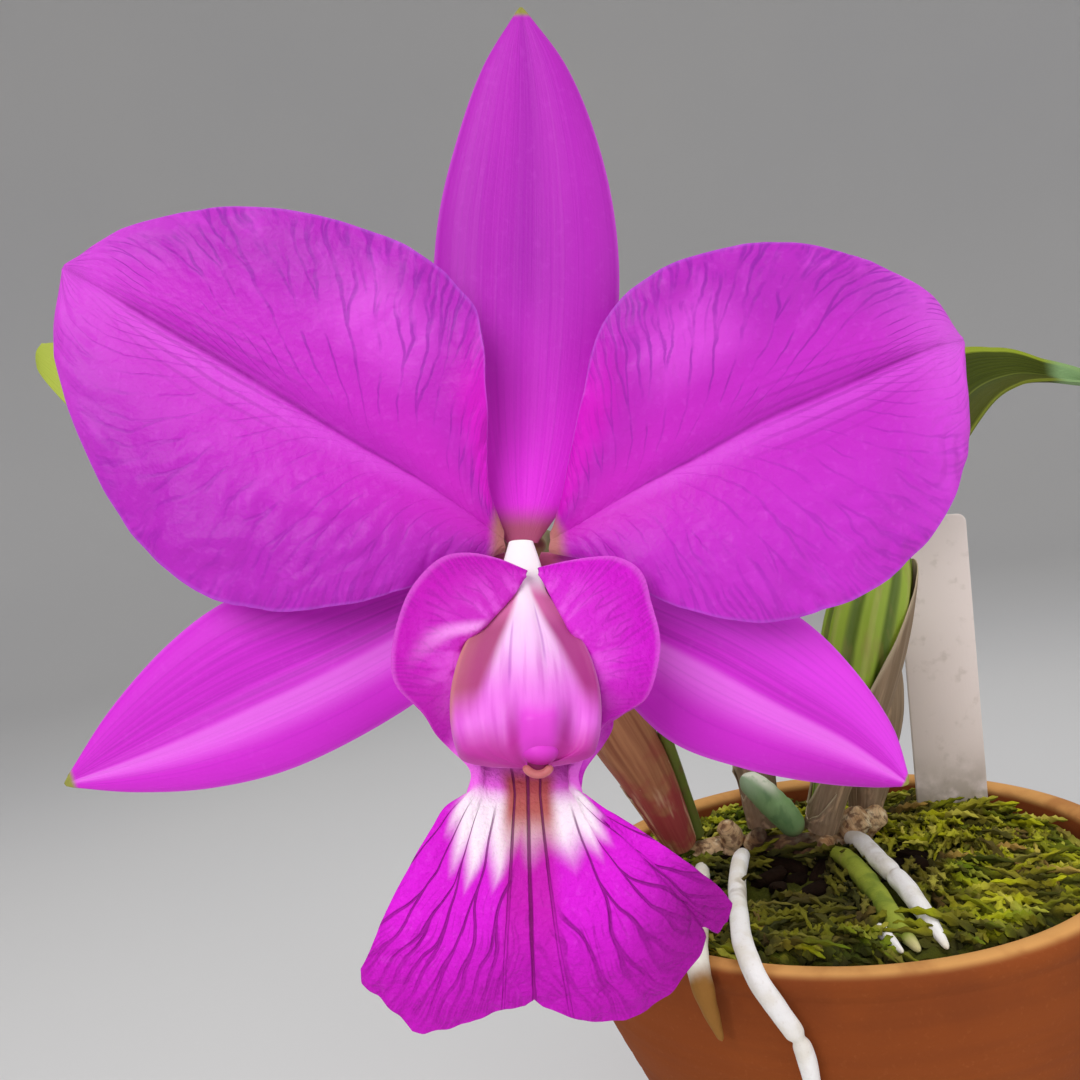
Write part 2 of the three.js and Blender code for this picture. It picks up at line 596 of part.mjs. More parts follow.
// ---- Lip: side lobes wrapped round the column and flared like ears, then the spreading front lobe ----
// Margins and crests run from the base of the lip to the waist; the trough lies behind the column.
const LEFT_MARGIN = [[0.9, -2.8, 5.9], [-2.4, -1.5, 5.3], [-5.8, -0.9, 5], [-8.8, -1.6, 5],
  [-11.6, -4.5, 5.1], [-13, -7.8, 5.7], [-13.7, -11.8, 7], [-13, -14.9, 8.4], [-10, -17.6, 10],
  [-8.5, -19.6, 11.1], [-7, -21, 11.8], [-4.9, -23.1, 12.4], [-5.3, -25.5, 12.6]];
const LEFT_CREST = [[0.2, -3.3, 6.3], [-0.5, -4.8, 7.4], [-1.7, -6.1, 8.1], [-2.9, -7.2, 8.6],
  [-4.3, -8.5, 9.1], [-6.9, -10, 8.4], [-7.3, -12, 8.3], [-7.5, -14, 9.2], [-7.6, -16.2, 10.4],
  [-7.3, -18.3, 11.3], [-6.1, -20.6, 11.9], [-4, -22.6, 12.3], [-4.2, -24.9, 12.5]];
const RIGHT_MARGIN = [[2, -2.5, 5.9], [4.7, -1.9, 5.3], [7.8, -1.4, 5], [10.8, -1.4, 5], [13.3, -3, 5.1],
  [14.3, -6.3, 5.7], [15.1, -9.9, 7], [14.7, -13, 8.4], [13.4, -16, 10], [10.8, -17.5, 11.1],
  [8.6, -18.8, 11.8], [6.3, -23, 12.4], [6.6, -25.3, 12.6]];
const RIGHT_CREST = [[2.5, -3.1, 6.3], [3.4, -4.7, 7.4], [4.2, -6.1, 8.1], [5.1, -7.5, 8.6], [6, -8.8, 9],
  [8, -10.3, 8.4], [8.5, -12.2, 8.3], [8.8, -14.2, 9.2], [9, -16.2, 10.4], [8.9, -18, 11.3],
  [8.1, -19.6, 11.9], [5.6, -22.4, 12.3], [5.5, -24.8, 12.5]];
const TROUGH = [[0.6, -2.4, -0.6], [1.2, -13.6, 4.8], [1.5, -25.8, 11.6]];
const TROUGH_HALF_WIDTHS = [4, 4.8, 5.6, 6.5, 7.3, 7.5, 7.4, 7.4, 7.6, 7.9, 6.8, 5, 4.4];
// Side edges of the front lobe, from the waist to its corners, and its lower edge from left to right.
const LEFT_EDGE = [[-5.3, -25.5, 12.6], [-7.4, -26.6, 12.9], [-8.7, -28.5, 13], [-9.9, -30.4, 13.1],
  [-11, -32.5, 13.2], [-12.2, -34.6, 13.3], [-13.3, -36.7, 13.4], [-14.3, -38.9, 13.4], [-15.2, -41.1, 13.5],
  [-16.1, -42.8, 13.5]];
const RIGHT_EDGE = [[6.6, -25.3, 12.6], [8.3, -26.4, 12.8], [10.2, -27.5, 12.9], [12, -28.6, 13],
  [13.9, -29.8, 13], [15.7, -31, 13], [17.4, -32.2, 13], [19, -33.5, 12.9], [20.6, -34.8, 12.8],
  [21.9, -36.4, 12.8]];
const FRONT_EDGE = [[-16.1, -42.8, 13.5], [-15.1, -45.1, 13.6], [-12.7, -47.2, 13.7], [-9.7, -49.3, 14],
  [-4.7, -47.9, 14.6], [-1.2, -46.2, 15], [1.8, -45.5, 14.6], [5.8, -46.9, 15], [9.8, -47.8, 14.6],
  [14.4, -45.9, 14], [18, -42.2, 13.6], [20.8, -39.5, 13], [21.9, -36.4, 12.8]];
const WAIST = 2 / 3;
const FRONT_ARCH = 2.4;
const FRONT_RUFFLE = 0.5;

function lipSurface() {
  const guides = [LEFT_MARGIN, LEFT_CREST, RIGHT_CREST, RIGHT_MARGIN].map(through);
  const trough = through(TROUGH);
  const halfWidth = values(TROUGH_HALF_WIDTHS);
  const [leftEdge, rightEdge, frontEdge] = [LEFT_EDGE, RIGHT_EDGE, FRONT_EDGE].map(through);
  const section = (t, v) => {
    const [leftMargin, leftCrest, rightCrest, rightMargin] = guides.map((guide) => guide(t));
    const centre = trough(t);
    const beside = (crest, side) => {
      const wall = centre.clone().lerp(crest, 0.42);
      wall.x = centre.x + side * halfWidth(t);
      return wall;
    };
    const points = [leftMargin, leftCrest, beside(leftCrest, -1), centre, beside(rightCrest, 1),
      rightCrest, rightMargin];
    return through(points.map((point) => point.toArray()))((v + 1) / 2);
  };
  return (u, v) => {
    if (u <= WAIST) return section(u / WAIST, v);
    const down = (u - WAIST) / (1 - WAIST);
    const away = Math.abs(v);
    const point = section(1, v).lerp(frontEdge((v + 1) / 2), down);
    const bow = Math.sin(Math.PI * down);
    const edge = v < 0 ? leftEdge : rightEdge;
    const bulge = edge(down).sub(edge(0).lerp(edge(1), down));
    point.addScaledVector(bulge, away ** 2);
    point.z += FRONT_ARCH * bow * (1 - 0.7 * away ** 2);
    point.z += FRONT_RUFFLE * down * Math.sin(4 * Math.PI * v) * away;
    return point;
  };
}

add(bloom, 'lip', blade(lipSurface(), 30, 24, LIP_THICKNESS), LIP_PURPLE);

export default orchid;
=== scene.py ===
import math

import bpy
import numpy as np
from mathutils import Matrix, Vector


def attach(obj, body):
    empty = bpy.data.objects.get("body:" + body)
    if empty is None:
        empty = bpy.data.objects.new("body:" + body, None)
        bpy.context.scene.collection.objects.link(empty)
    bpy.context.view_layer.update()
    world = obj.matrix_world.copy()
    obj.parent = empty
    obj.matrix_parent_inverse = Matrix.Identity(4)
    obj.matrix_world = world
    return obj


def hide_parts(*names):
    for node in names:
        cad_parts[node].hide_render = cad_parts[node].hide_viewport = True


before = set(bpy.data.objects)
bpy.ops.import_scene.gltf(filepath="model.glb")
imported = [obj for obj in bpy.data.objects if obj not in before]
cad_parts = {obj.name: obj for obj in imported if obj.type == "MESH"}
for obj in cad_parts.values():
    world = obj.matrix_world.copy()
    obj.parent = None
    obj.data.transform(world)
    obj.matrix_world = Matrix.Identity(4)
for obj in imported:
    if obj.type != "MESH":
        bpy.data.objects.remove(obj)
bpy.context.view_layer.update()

# ---- Pot ----
# A bowl pot thrown in red clay and fired unglazed: a wall that opens upwards, a rounded rim band and
# three drain holes in the floor. The wall keeps faint rings from throwing, and the rim top is paler:
# partly dust, partly a painted highlight.
MM = 0.001
TURN = 2 * math.pi
SHARP = math.radians(55)


def within(x):
    """x held between 0 and 1."""
    return np.clip(x, 0, 1)


def through(knots, t):
    """A smooth curve through evenly spaced knots, numbers or points, t from 0 to 1: between two knots
    b and c with neighbours a and d, the cubic b + w/2 (c-a) + w^2/2 (2a-5b+4c-d) + w^3/2 (3b-3c+d-a)."""
    knots = np.asarray(knots, float)
    t = within(np.asarray(t, float)) * (len(knots) - 1)
    k = np.concatenate([2 * knots[:1] - knots[1:2], knots, 2 * knots[-1:] - knots[-2:-1]])
    i = np.minimum(t.astype(int), len(knots) - 2)
    w = (t - i).reshape(t.shape + (1,) * (knots.ndim - 1))
    a, b, c, d = k[i], k[i + 1], k[i + 2], k[i + 3]
    return b + w / 2 * (c - a + w * (2 * a - 5 * b + 4 * c - d + w * (3 * (b - c) + d - a)))


def unevenness(x, y, wave, seed):
    """Smooth irregularity, mostly from -1 to 1: a fifth of the sum of nine sines of about one
    wavelength, each in a direction and at a phase of its own."""
    draw = np.random.default_rng(seed)
    total = 0
    for angle, phase, stretch in draw.uniform([0, 0, 0.6], [TURN, TURN, 1.6], (9, 3)):
        total = total + np.sin(TURN / wave * stretch * (x * np.cos(angle) + y * np.sin(angle)) + phase)
    return total / 5


def closed_skin(rings):
    """Points and faces of closed skins, rings shaped (..., rows, sides, 3): neighbouring rings are
    joined by four-sided faces, and the end rings are closed by strips straight across them."""
    rows, sides = rings.shape[-3:-1]
    index = np.arange(rows * sides).reshape(rows, sides)
    beside = np.roll(index, -1, axis=1)
    walls = np.stack([index[:-1], beside[:-1], beside[1:], index[1:]], -1).reshape(-1, 4)
    j = np.arange(sides // 2 - 1)
    lids = [np.stack([ring[j], ring[j + 1], ring[sides - 2 - j], ring[sides - 1 - j]], -1)
            for ring in (index[0], index[-1])]
    faces = np.vstack([walls, lids[0][:, ::-1], lids[1]])
    points = rings.reshape(-1, 3)
    copies = np.arange(len(points) // (rows * sides))[:, None, None] * rows * sides
    return points, (faces + copies).reshape(-1, 4)


def placed(name, data):
    """A new object in the scene."""
    made = bpy.data.objects.new(name, data)
    bpy.context.scene.collection.objects.link(made)
    return made


def piece(name, rings, finish, nodes=(), course=None):
    """A closed piece from rings in millimetres, turned outwards: the volume under its faces is the sum
    of a.(b x c) + a.(c x d). Course, three numbers a point, is what its finish follows."""
    points, faces = closed_skin(rings)
    a, b, c, d = (points[faces[:, k]] for k in range(4))
    volume = np.sum(a * (np.cross(b, c) + np.cross(c, d)))
    mesh = bpy.data.meshes.new(name)
    mesh.from_pydata((points * MM).tolist(), [], faces[:, ::(1 if volume > 0 else -1)].tolist())
    mesh.polygons.foreach_set("use_smooth", np.ones(len(faces), bool))
    mesh.set_sharp_from_angle(angle=SHARP)
    if course is not None:
        course = np.broadcast_to(course, rings.shape)
        mark = mesh.attributes.new("course", "FLOAT_VECTOR", "POINT")
        mark.data.foreach_set("vector", course.astype(np.float32).ravel())
    mesh.materials.append(finish.material)
    made = placed(name, mesh)
    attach(made, "root")
    if nodes:
        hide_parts(*nodes)
    return made


def tint(*screen):
    """A colour given as screen values from 0 to 255, made linear."""
    return (*(((c / 255 + 0.055) / 1.055) ** 2.4 for c in screen), 1.0)


class Amount:
    """A value that a finish has at each point of a surface, to be reckoned with as a number."""

    def __init__(self, finish, socket):
        self.finish, self.socket = finish, socket

    def by(self, operation, other=0.0):
        return self.finish.value("Math", {0: self, 1: other}, operation=operation)

    def __add__(self, other):
        return self.by("ADD", other)

    def __mul__(self, other):
        return self.by("MULTIPLY", other)

    def __sub__(self, other):
        return self.by("SUBTRACT", other)

    def __rsub__(self, other):
        return self.finish.value("Math", {0: other, 1: self}, operation="SUBTRACT")

    def __abs__(self):
        return self.by("ABSOLUTE")

    __radd__, __rmul__ = __add__, __mul__

    def rise(self, low, high, most=1.0):
        """0 before low, most past high, with a smooth start and end; low may be the larger."""
        inputs = {"Value": self, "From Min": low, "From Max": high, "To Min": 0, "To Max": most}
        return self.finish.value("MapRange", inputs, interpolation_type="SMOOTHSTEP")


class Finish:
    """A surface finish built up node by node, from where a point is on its piece."""

    def __init__(self, name, roughness, gloss, **sockets):
        self.material = bpy.data.materials.new(name)
        self.material.use_nodes = True
        self.tree = self.material.node_tree
        self.shader = self.tree.nodes["Principled BSDF"]
        for socket, value in dict(sockets, Roughness=roughness, Specular_IOR_Level=gloss).items():
            self.shader.inputs[socket.replace("_", " ")].default_value = value
        self.place = self.value("TexCoord", {}, "Object")

    def node(self, kind, inputs, **settings):
        """A shader node, each input set to a number or fed by an amount."""
        made = self.tree.nodes.new("ShaderNode" + kind)
        for key, value in settings.items():
            setattr(made, key, value)
        for socket, value in inputs.items():
            if isinstance(value, Amount):
                self.tree.links.new(value.socket, made.inputs[socket])
            else:
                made.inputs[socket].default_value = value
        return made

    def value(self, kind, inputs, output=0, **settings):
        """What comes out of a new node."""
        return Amount(self, self.node(kind, inputs, **settings).outputs[output])

    def split(self, vector):
        return [Amount(self, socket) for socket in self.node("SeparateXYZ", {0: vector}).outputs]

    def course(self):
        """The three numbers that the piece carries at each point."""
        return self.split(self.value("Attribute", {}, "Vector", attribute_name="course"))

    def point(self, *numbers):
        return self.value("CombineXYZ", dict(enumerate(numbers)))

    def grain(self, size, stretch=(1, 1, 1), detail=4.0, place=None):
        """Cloudy unevenness of patches about size millimetres across, 0 to 1; a stretch under 1
        lengthens them along that axis."""
        scale = [s / (size * MM) for s in stretch]
        scaled = self.value("VectorMath", {0: place or self.place, 1: scale}, operation="MULTIPLY")
        return self.value("TexNoise", {"Vector": scaled, "Scale": 1.0, "Detail": detail})

    def blend(self, share, *colours):
        """The first colour where the share is 0, the second where it is 1."""
        a, b = (tint(*c) if isinstance(c, tuple) else c for c in colours)
        return self.value("Mix", {0: share, 6: a, 7: b}, 2, data_type="RGBA")

    def ground(self, share, first, second):
        """The coat under all others, blended from two colours."""
        self.coat = self.blend(share, first, second)
        self.tree.links.new(self.coat.socket, self.shader.inputs["Base Color"])

    def paint(self, *coats):
        """Coats over the ones before, each a share from 0 to 1 and a colour."""
        for share, colour in coats:
            self.ground(share, self.coat, colour)

    def relief(self, height, depth):
        """Fine relief: a height from 0 to 1 stands depth millimetres proud."""
        bump = self.value("Bump", {"Height": height, "Distance": depth * MM, "Strength": 1.0})
        self.tree.links.new(bump.socket, self.shader.inputs["Normal"])


POT_SIDE = [[34.2, 1.2], [38.2, 15], [43.4, 30], [49.4, 45], [54.2, 57], [56.2, 67], [56.4, 75.2]]
RIM_BAND = [[56.42, 75.4], [56.6, 75.9], [56.95, 76.8], [57.05, 77.9], [56.5, 79], [55.3, 79.7],
            [53.9, 80], [52.5, 79.8], [51.5, 79.1], [51.2, 78], [50.9, 76.4]]
POT_FLOOR = 6
POT_WALL = 5.6
POT_SIDES = 128
DRAIN_HOLES = 3
DRAIN_HOLE_RADIUS = 4
DRAIN_CIRCLE_RADIUS = 18
DRILL_OVERSHOOT = 3
DRILL_SIDES = 32


def wall_radius(height):
    """Outside radius of the wall at a height, read off its side curve."""
    radius, level = through(POT_SIDE, np.linspace(0, 1, 400)).T
    return np.interp(height, level, radius)


def angles(count):
    """Evenly spaced angles once round."""
    return TURN * np.arange(count) / count


def together(*parts):
    """Numbers spread over one grid and put side by side as its last axis."""
    return np.stack(np.broadcast_arrays(*parts), -1)


def turned(profile, sides):
    """Rings of a turned form: each profile point, radius and height, goes once round the Z axis."""
    angle = angles(sides)
    radius, height = np.asarray(profile, float).T[:, :, None]
    return together(radius * np.cos(angle), radius * np.sin(angle), height)


WALL_TOP = POT_SIDE[-1][1]
rising = np.linspace(POT_SIDE[0][1], WALL_TOP, 90)
throwing_rings = 0.1 * np.sin(rising * 1.7) * np.sin(rising * 0.23) * within((75 - rising) / 6)
outside = np.stack([wall_radius(rising) + throwing_rings, rising], -1)
falling = np.linspace(WALL_TOP, POT_FLOOR, 40)
inside = np.stack([wall_radius(falling) - POT_WALL, falling], -1)
foot = [[32.4, 0], [33.4, 0.15], [33.9, 0.55]]
pot_profile = np.vstack([foot, outside, through(RIM_BAND, np.linspace(0, 1, 41)), inside])

terracotta = Finish("terracotta", 0.85, 0.15)
out_x, out_y, height = terracotta.split(terracotta.place)
radius = (out_x * out_x + out_y * out_y).by("SQRT")
terracotta.ground(terracotta.grain(30, detail=3), (132, 64, 26), (152, 78, 33))
streaks = terracotta.grain(2.4, stretch=(0.06, 0.06, 1), detail=3)
damp = height.rise(0.066, 0.074, 0.55) * terracotta.grain(14).rise(0.35, 0.65)
rim_patches = terracotta.grain(7, detail=3).rise(0.25, 0.6, 0.45)
# The rim top in patches: partly dust, partly a painted highlight where the rounded rim meets the light.
dust_and_highlight = (rim_patches + 0.55) * height.rise(0.0777, 0.079) * radius.rise(0.0566, 0.055)
terracotta.paint(
    (terracotta.grain(0.8, detail=6).rise(0.56, 0.8, 0.2), (184, 112, 62)),
    (streaks.rise(0.4, 0.75, 0.22), (118, 58, 28)),
    (damp, (122, 60, 28)),
    (dust_and_highlight, (216, 158, 92)))
pores = streaks + terracotta.grain(0.5, detail=5)
terracotta.relief(pores, 0.06)

pot = piece("terracotta_pot", turned(pot_profile, POT_SIDES), terracotta, ["pot"])
drills = []
for i in range(DRAIN_HOLES):
    angle = TURN * (i + 0.25) / DRAIN_HOLES
    ends = -DRILL_OVERSHOOT, POT_FLOOR + DRILL_OVERSHOOT
    rings = turned([[DRAIN_HOLE_RADIUS, end] for end in ends], DRILL_SIDES)
    rings += [DRAIN_CIRCLE_RADIUS * math.cos(angle), DRAIN_CIRCLE_RADIUS * math.sin(angle), 0]
    drills.append(piece(f"drill_{i}", rings, terracotta))
    pot.modifiers.new("drain hole", "BOOLEAN").object = drills[-1]
bored = bpy.data.meshes.new_from_object(pot.evaluated_get(bpy.context.evaluated_depsgraph_get()))
pot.modifiers.clear()
pot.data = bored
for drill in drills:
    bpy.data.objects.remove(drill)

# ---- Bark filling ----
# Coarse bark packed into the pot up to the moss. It shows only through the drain holes, and as loose
# chips that lie round the rhizome, where the moss is thin.
bark = Finish("bark", 0.95, 0.08)
bark.ground(bark.grain(5, detail=6), (5, 3, 2), (40, 25, 15))
bark.paint((bark.grain(1.2, stretch=(1, 0.3, 1)).rise(0.45, 0.62, 0.5), (30, 18, 10)))
bark.relief(bark.grain(1.5, stretch=(1, 0.4, 1), detail=7), 0.6)
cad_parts["bark_filling"].material_slots[0].material = bark.material

MOSS_EDGE = 76.5
MOSS_CROWN = 2.6
MOSS_TUFT = 0.9
POT_RIM_RADIUS = 57.5
CHIP_ROWS = 9
CHIP_SIDES = 14


def moss_height(x, y):
    """Top of the moss: the edge plus a crown that falls off with the square of the radius, a slight
    slope to the back right, and tufts of sines multiplied and added, which flatten at the wall."""
    ring = np.hypot(x, y) / POT_RIM_RADIUS
    tufts = np.sin(0.42 * x + 1.3) * np.cos(0.37 * y) + 0.6 * np.sin(0.71 * x - 0.55 * y)
    crown = MOSS_CROWN * (1 - ring**2) - 0.025 * x - 0.035 * y
    return MOSS_EDGE + crown + MOSS_TUFT * tufts * np.minimum(1, 4 * (1 - ring))


def turned_about(points, tilt, heading):
    """Points (count, ..., 3) tilted about X and then turned about Z, each form by its own angles."""
    shape = (-1,) + (1,) * (points.ndim - 2)
    tilt, heading = tilt.reshape(shape), heading.reshape(shape)
    x, y, z = points[..., 0], points[..., 1], points[..., 2]
    y, z = y * np.cos(tilt) - z * np.sin(tilt), y * np.sin(tilt) + z * np.cos(tilt)
    x, y = x * np.cos(heading) - y * np.sin(heading), x * np.sin(heading) + y * np.cos(heading)
    return np.stack([x, y, z], -1)


def bark_chips(count, seed):
    """Rings of chips: a rounded block, its sections circles with cosine and sine raised to the power
    0.6 and as wide as the root of 1 - level^4. A smooth unevenness shifts its sides in and out, and
    each chip has its own size, place and turn."""
    draw = np.random.default_rng(seed)
    level = np.sin(np.linspace(-0.5, 0.5, CHIP_ROWS) * math.pi)[:, None]
    angle = angles(CHIP_SIDES)
    girth = (1.001 - level**4) ** 0.5
    block = [np.sign(f(angle)) * np.abs(f(angle)) ** 0.6 * girth for f in (np.cos, np.sin)]
    block = together(*block, level)
    size = draw.uniform([1.6, 3.2, 0.8], [3.2, 6.5, 1.8], (count, 3))
    chips = block * size[:, None, None, :]
    x, y, z = np.moveaxis(chips, -1, 0)
    chips *= 1 + 0.16 * unevenness(x + 7 * z, y + 31 * size[:, None, None, 1], 4, seed)[..., None]
    chips = turned_about(chips, draw.uniform(-0.5, 0.5, count), draw.uniform(0, TURN, count))
    x, y = draw.uniform(-27, 16, count), draw.uniform(-17, 13, count)
    place = np.stack([x, y, moss_height(x, y) + draw.uniform(-1.4, 0.6, count)], -1)
    return chips + place[:, None, None, :]


piece("bark_chips", bark_chips(46, 4), bark)

# ---- Moss cushion ----
# Living sheet moss over the bark: a dark felted bed, and on it well over a thousand leafy shoots that
# lie in overlapping tufts, yellow-green in tones that vary from shoot to shoot, with painted shade
# darkening their bases, their undersides and the shoots that lie low.
moss_bed = Finish("moss bed", 0.95, 0.15)
moss_bed.ground(moss_bed.grain(6, detail=6), (22, 18, 5), (84, 88, 18))
moss_bed.relief(moss_bed.grain(1.6, detail=8), 1.2)

FILL_CLEARANCE = POT_WALL + 0.6
BED_BOTTOM = 66.3
BED_EDGE = 75
BED_RINGS = 72
BED_SIDES = 132
bed_radius = wall_radius(BED_EDGE) - FILL_CLEARANCE
bed_top = [[radius, 0] for radius in np.linspace(bed_radius, 0.4, BED_RINGS)]
bed = turned([[wall_radius(BED_BOTTOM) - FILL_CLEARANCE, BED_BOTTOM]] + bed_top, BED_SIDES)
x, y = bed[1:, :, 0], bed[1:, :, 1]
bed[1:, :, 2] = moss_height(x, y) - 0.5
bed[1:, :, 2] += 0.7 * unevenness(x, y, 3.2, 11)
piece("moss_bed", bed, moss_bed, ["moss"])

moss_green = Finish("moss shoots", 0.8, 0.2)
shade, along, depth = moss_green.course()
moss_green.ground(shade.rise(0, 0.5), (100, 106, 6), (184, 184, 20))
patches = moss_green.grain(20, detail=2).rise(0.5, 0.66, 0.6)
# A spot near the rhizome, under the growths, round which the shoots get painted shade.
place_x, place_y, _ = moss_green.split(moss_green.place)
off_x = (place_x + 0.012) * (1 / 0.024)
off_y = (place_y + 0.018) * (1 / 0.028)
from_shady_spot = off_x * off_x + off_y * off_y
moss_green.paint(
    (shade.rise(0.5, 0.9), (210, 202, 78)),
    (shade.rise(0.93, 0.99), (172, 138, 66)),
    (patches, (108, 138, 16)),
    (moss_green.grain(12, detail=2).rise(0.5, 0.62, 0.6), (92, 70, 28)),
    # Painted shade: round that spot, towards each shoot's base, and on the undersides and the low-lying
    # shoots.
    (from_shady_spot.rise(1.5, 0.3, 0.75), (58, 46, 18)),
    (along.rise(0.45, 0, 0.85), (30, 28, 8)),
    (depth.rise(0.9, 0.35, 0.8), (36, 38, 6)))
moss_green.relief(moss_green.grain(0.5), 0.2)

MOUNDS = ((25, 14, 1.6, 16), (31, -14, 1.8, 14), (-22, -36, 1.2, 9), (-38, 8, 1.5, 14))
BARE_CENTRE = (-16.5, -11)
BARE_REACH = (12.5, 14)
ROOT_BEDS = (((2, -6), (4, -50)), ((-1.5, -8), (-0.5, -49)), ((-6, -30), (-3.5, -50)))
BED_WIDTH = 2.1


def moss_mounds(x, y):
    """How far the shoots heap up over the bed: bell curves round four spots, and smooth cushions."""
    heap = 0.5 + 0.9 * unevenness(x, y, 15, 7)
    for spot_x, spot_y, height, reach in MOUNDS:
        heap = heap + height * np.exp(-((x - spot_x) ** 2 + (y - spot_y) ** 2) / reach**2)
    return heap


def moss_shoots(count, seed, length, girth):
    """Rings of leafy shoots. Each axis is a short arc: it leaves the bed at a slope and droops with the
    square of its length. Every other ring stands out in leaf tips, by 1.2 + 0.34 cos(leaves turn),
    shifted by half a leaf from whorl to whorl; the rings between are drawn in, and the whole tapers
    with the power 2.5. Headings follow a smooth field, so that the shoots lie in tufts; none starts
    on a root's bed."""
    draw = np.random.default_rng(seed)
    x, y = draw.uniform(-51, 51, (2, 5 * count))
    bare = np.hypot((x - BARE_CENTRE[0]) / BARE_REACH[0], (y - BARE_CENTRE[1]) / BARE_REACH[1])
    edge = 50.4 - 4 * within((x + y) / 50)
    keep = (np.hypot(x, y) < edge) & (bare + draw.uniform(-0.3, 0.3, 5 * count) > 0.9)
    for start, end in np.array(ROOT_BEDS, float):
        run = end - start
        share = within(((x - start[0]) * run[0] + (y - start[1]) * run[1]) / (run @ run))
        keep &= np.hypot(x - start[0] - share * run[0], y - start[1] - share * run[1]) > BED_WIDTH
    x, y, edge = x[keep][:count], y[keep][:count], edge[keep][:count]
    count = len(x)
    heading = -1.1 + 1.2 * unevenness(x, y, 50, 5) + 0.7 * unevenness(x, y, 14, 6)
    heading = heading + draw.normal(0, 0.3, count)
    slope, droop = draw.uniform(0.1, 0.6, count), draw.uniform(0.1, 0.45, count)
    reach = draw.uniform(*length, count)
    inwards = np.arctan2(-y, -x)
    crowded = np.hypot(x + reach * np.cos(heading), y + reach * np.sin(heading)) > edge + 2.1
    heading = np.where(crowded, inwards + draw.uniform(-1.1, 1.1, count), heading)
    rows, leaves = 11, 4
    t = np.linspace(0, 1, rows)[:, None]
    whorl = np.arange(rows)[:, None]
    turn = angles(2 * leaves)
    flare = np.where(whorl % 2 == 1, 1.2 + 0.34 * np.cos(leaves * turn + math.pi * (whorl // 2)), 0.68)
    width = draw.uniform(*girth, count)[:, None, None] * (1 - 0.8 * t**2.5) * flare
    reach, slope, droop = (each[:, None, None] for each in (reach, slope, droop))
    climb = reach * (t * np.sin(slope) - droop * t**2)
    rings = together(reach * t * np.cos(slope), width * np.cos(turn), climb + width * np.sin(turn))
    rings = turned_about(rings, np.zeros(count), heading)
    sunk = draw.uniform(-1.6, 0.2, count)
    rings += np.stack([x, y, moss_height(x, y) + moss_mounds(x, y) + sunk], -1)[:, None, None, :]
    # How high a point lies, for the finish's painted shade on low-lying shoots and on the undersides.
    above = (sunk[:, None, None] + 1.6) / 1.8 + 0.3 * np.sin(turn)
    lengthwise = t + 0.12 * (flare - 1)
    shade = draw.uniform(0, 1, count)[:, None, None]
    return rings, together(shade, lengthwise, above)


SHOOT_SIZES = (("moss_shoots_low", 900, 21, (6, 11), (0.7, 1.1)),
               ("moss_shoots_top", 900, 22, (8, 16), (0.6, 1.05)))
for name, count, seed, length, girth in SHOOT_SIZES:
    rings, course = moss_shoots(count, seed, length, girth)
    piece(name, rings, moss_green, ["moss"], course)

# ---- Rhizome ----
# The creeping woody stem that all the growths stand on: tan and ringed, with the dry stubs of older
# growths along it. It is sunk into the top of the moss.
RHIZOME = [[15, 11, 78.5], [6, 7, 80], [-3.5, 1.5, 80.5], [-14, 5, 80.5], [-24, 7, 81],
           [-32.5, 5, 81.5]]
RHIZOME_RADII = [2.2, 3.2, 3.4, 3, 3.2, 2.6]


def unit(vectors):
    """Vectors scaled to length one."""
    return vectors / np.maximum(np.linalg.norm(vectors, axis=-1, keepdims=True), 1e-9)


def direction(path, u):
    """Which way a path runs at its share u: the unit step from just before to just after."""
    return unit(through(path, u + 0.002) - through(path, u - 0.002))


def bearings(path, u, side=(1, 0, 0)):
    """Sideways, the part of side at right angles to the path, and upwards, the cross product of the
    path's direction and sideways."""
    along = direction(path, u)
    sideways = unit(side - along * (along @ np.array(side, float))[..., None])
    return sideways, np.cross(along, sideways)


def stem(path, rows, sides, reach, side=(1, 0, 0)):
    """Rings round a smooth path; reach(u, angle) gives each point's distances sideways and upwards."""
    u = np.linspace(0, 1, rows)
    sideways, upwards = bearings(path, u, side)
    x, y = (part[..., None] for part in reach(u[:, None], angles(sides)))
    return through(path, u)[:, None] + x * sideways[:, None] + y * upwards[:, None]


def bell(x, width):
    """A bell curve, exp(-(x / width)^2)."""
    return np.exp(-((x / width) ** 2))


def round_reach(radii, ends=0.03, knobs=0.03, wave=0.12, seed=1, necks=()):
    """A round section whose radius runs through the radii, with domed ends, the radius falling as the
    quarter of a circle over the last part, slight knobs, and necks as narrow bell curves."""
    def reach(u, angle):
        dome = within(np.minimum(u, 1 - u) / ends)
        radius = through(radii, u) * np.sqrt(dome * (2 - dome) + 0.002)
        radius = radius * (1 + knobs * unevenness(u, np.sin(angle) * wave, wave, seed))
        for neck in necks:
            radius = radius * (1 - 0.3 * bell(u - neck, 0.012))
        return radius * np.cos(angle), radius * np.sin(angle)
    return reach


def stem_course(rows, sides):
    """What a stem's finish follows: the share of its length, and the cosine and sine of the angle."""
    return together(np.linspace(0, 1, rows)[:, None], np.cos(angles(sides)), np.sin(angles(sides)))


def stem_piece(name, path, rows, sides, reach, finish, slot, nodes=(), side=(1, 0, 0)):
    """A stem put down as a piece, with its course for the finish."""
    piece(name, stem(path, rows, sides, reach, side), finish, nodes, stem_course(rows, sides))


woody = Finish("rhizome", 0.85, 0.25)
along = woody.course()[0]
scales = (along * 9 + woody.grain(9)).by("FRACT")
woody.ground(woody.grain(4, detail=5).rise(0.35, 0.65), (172, 130, 88), (222, 190, 146))
place_x = woody.split(woody.place)[0]
# The middle stretch, under the growths, gets painted shade.
shaded_middle = place_x.rise(-0.02, -0.017) * place_x.rise(-0.004, -0.007)
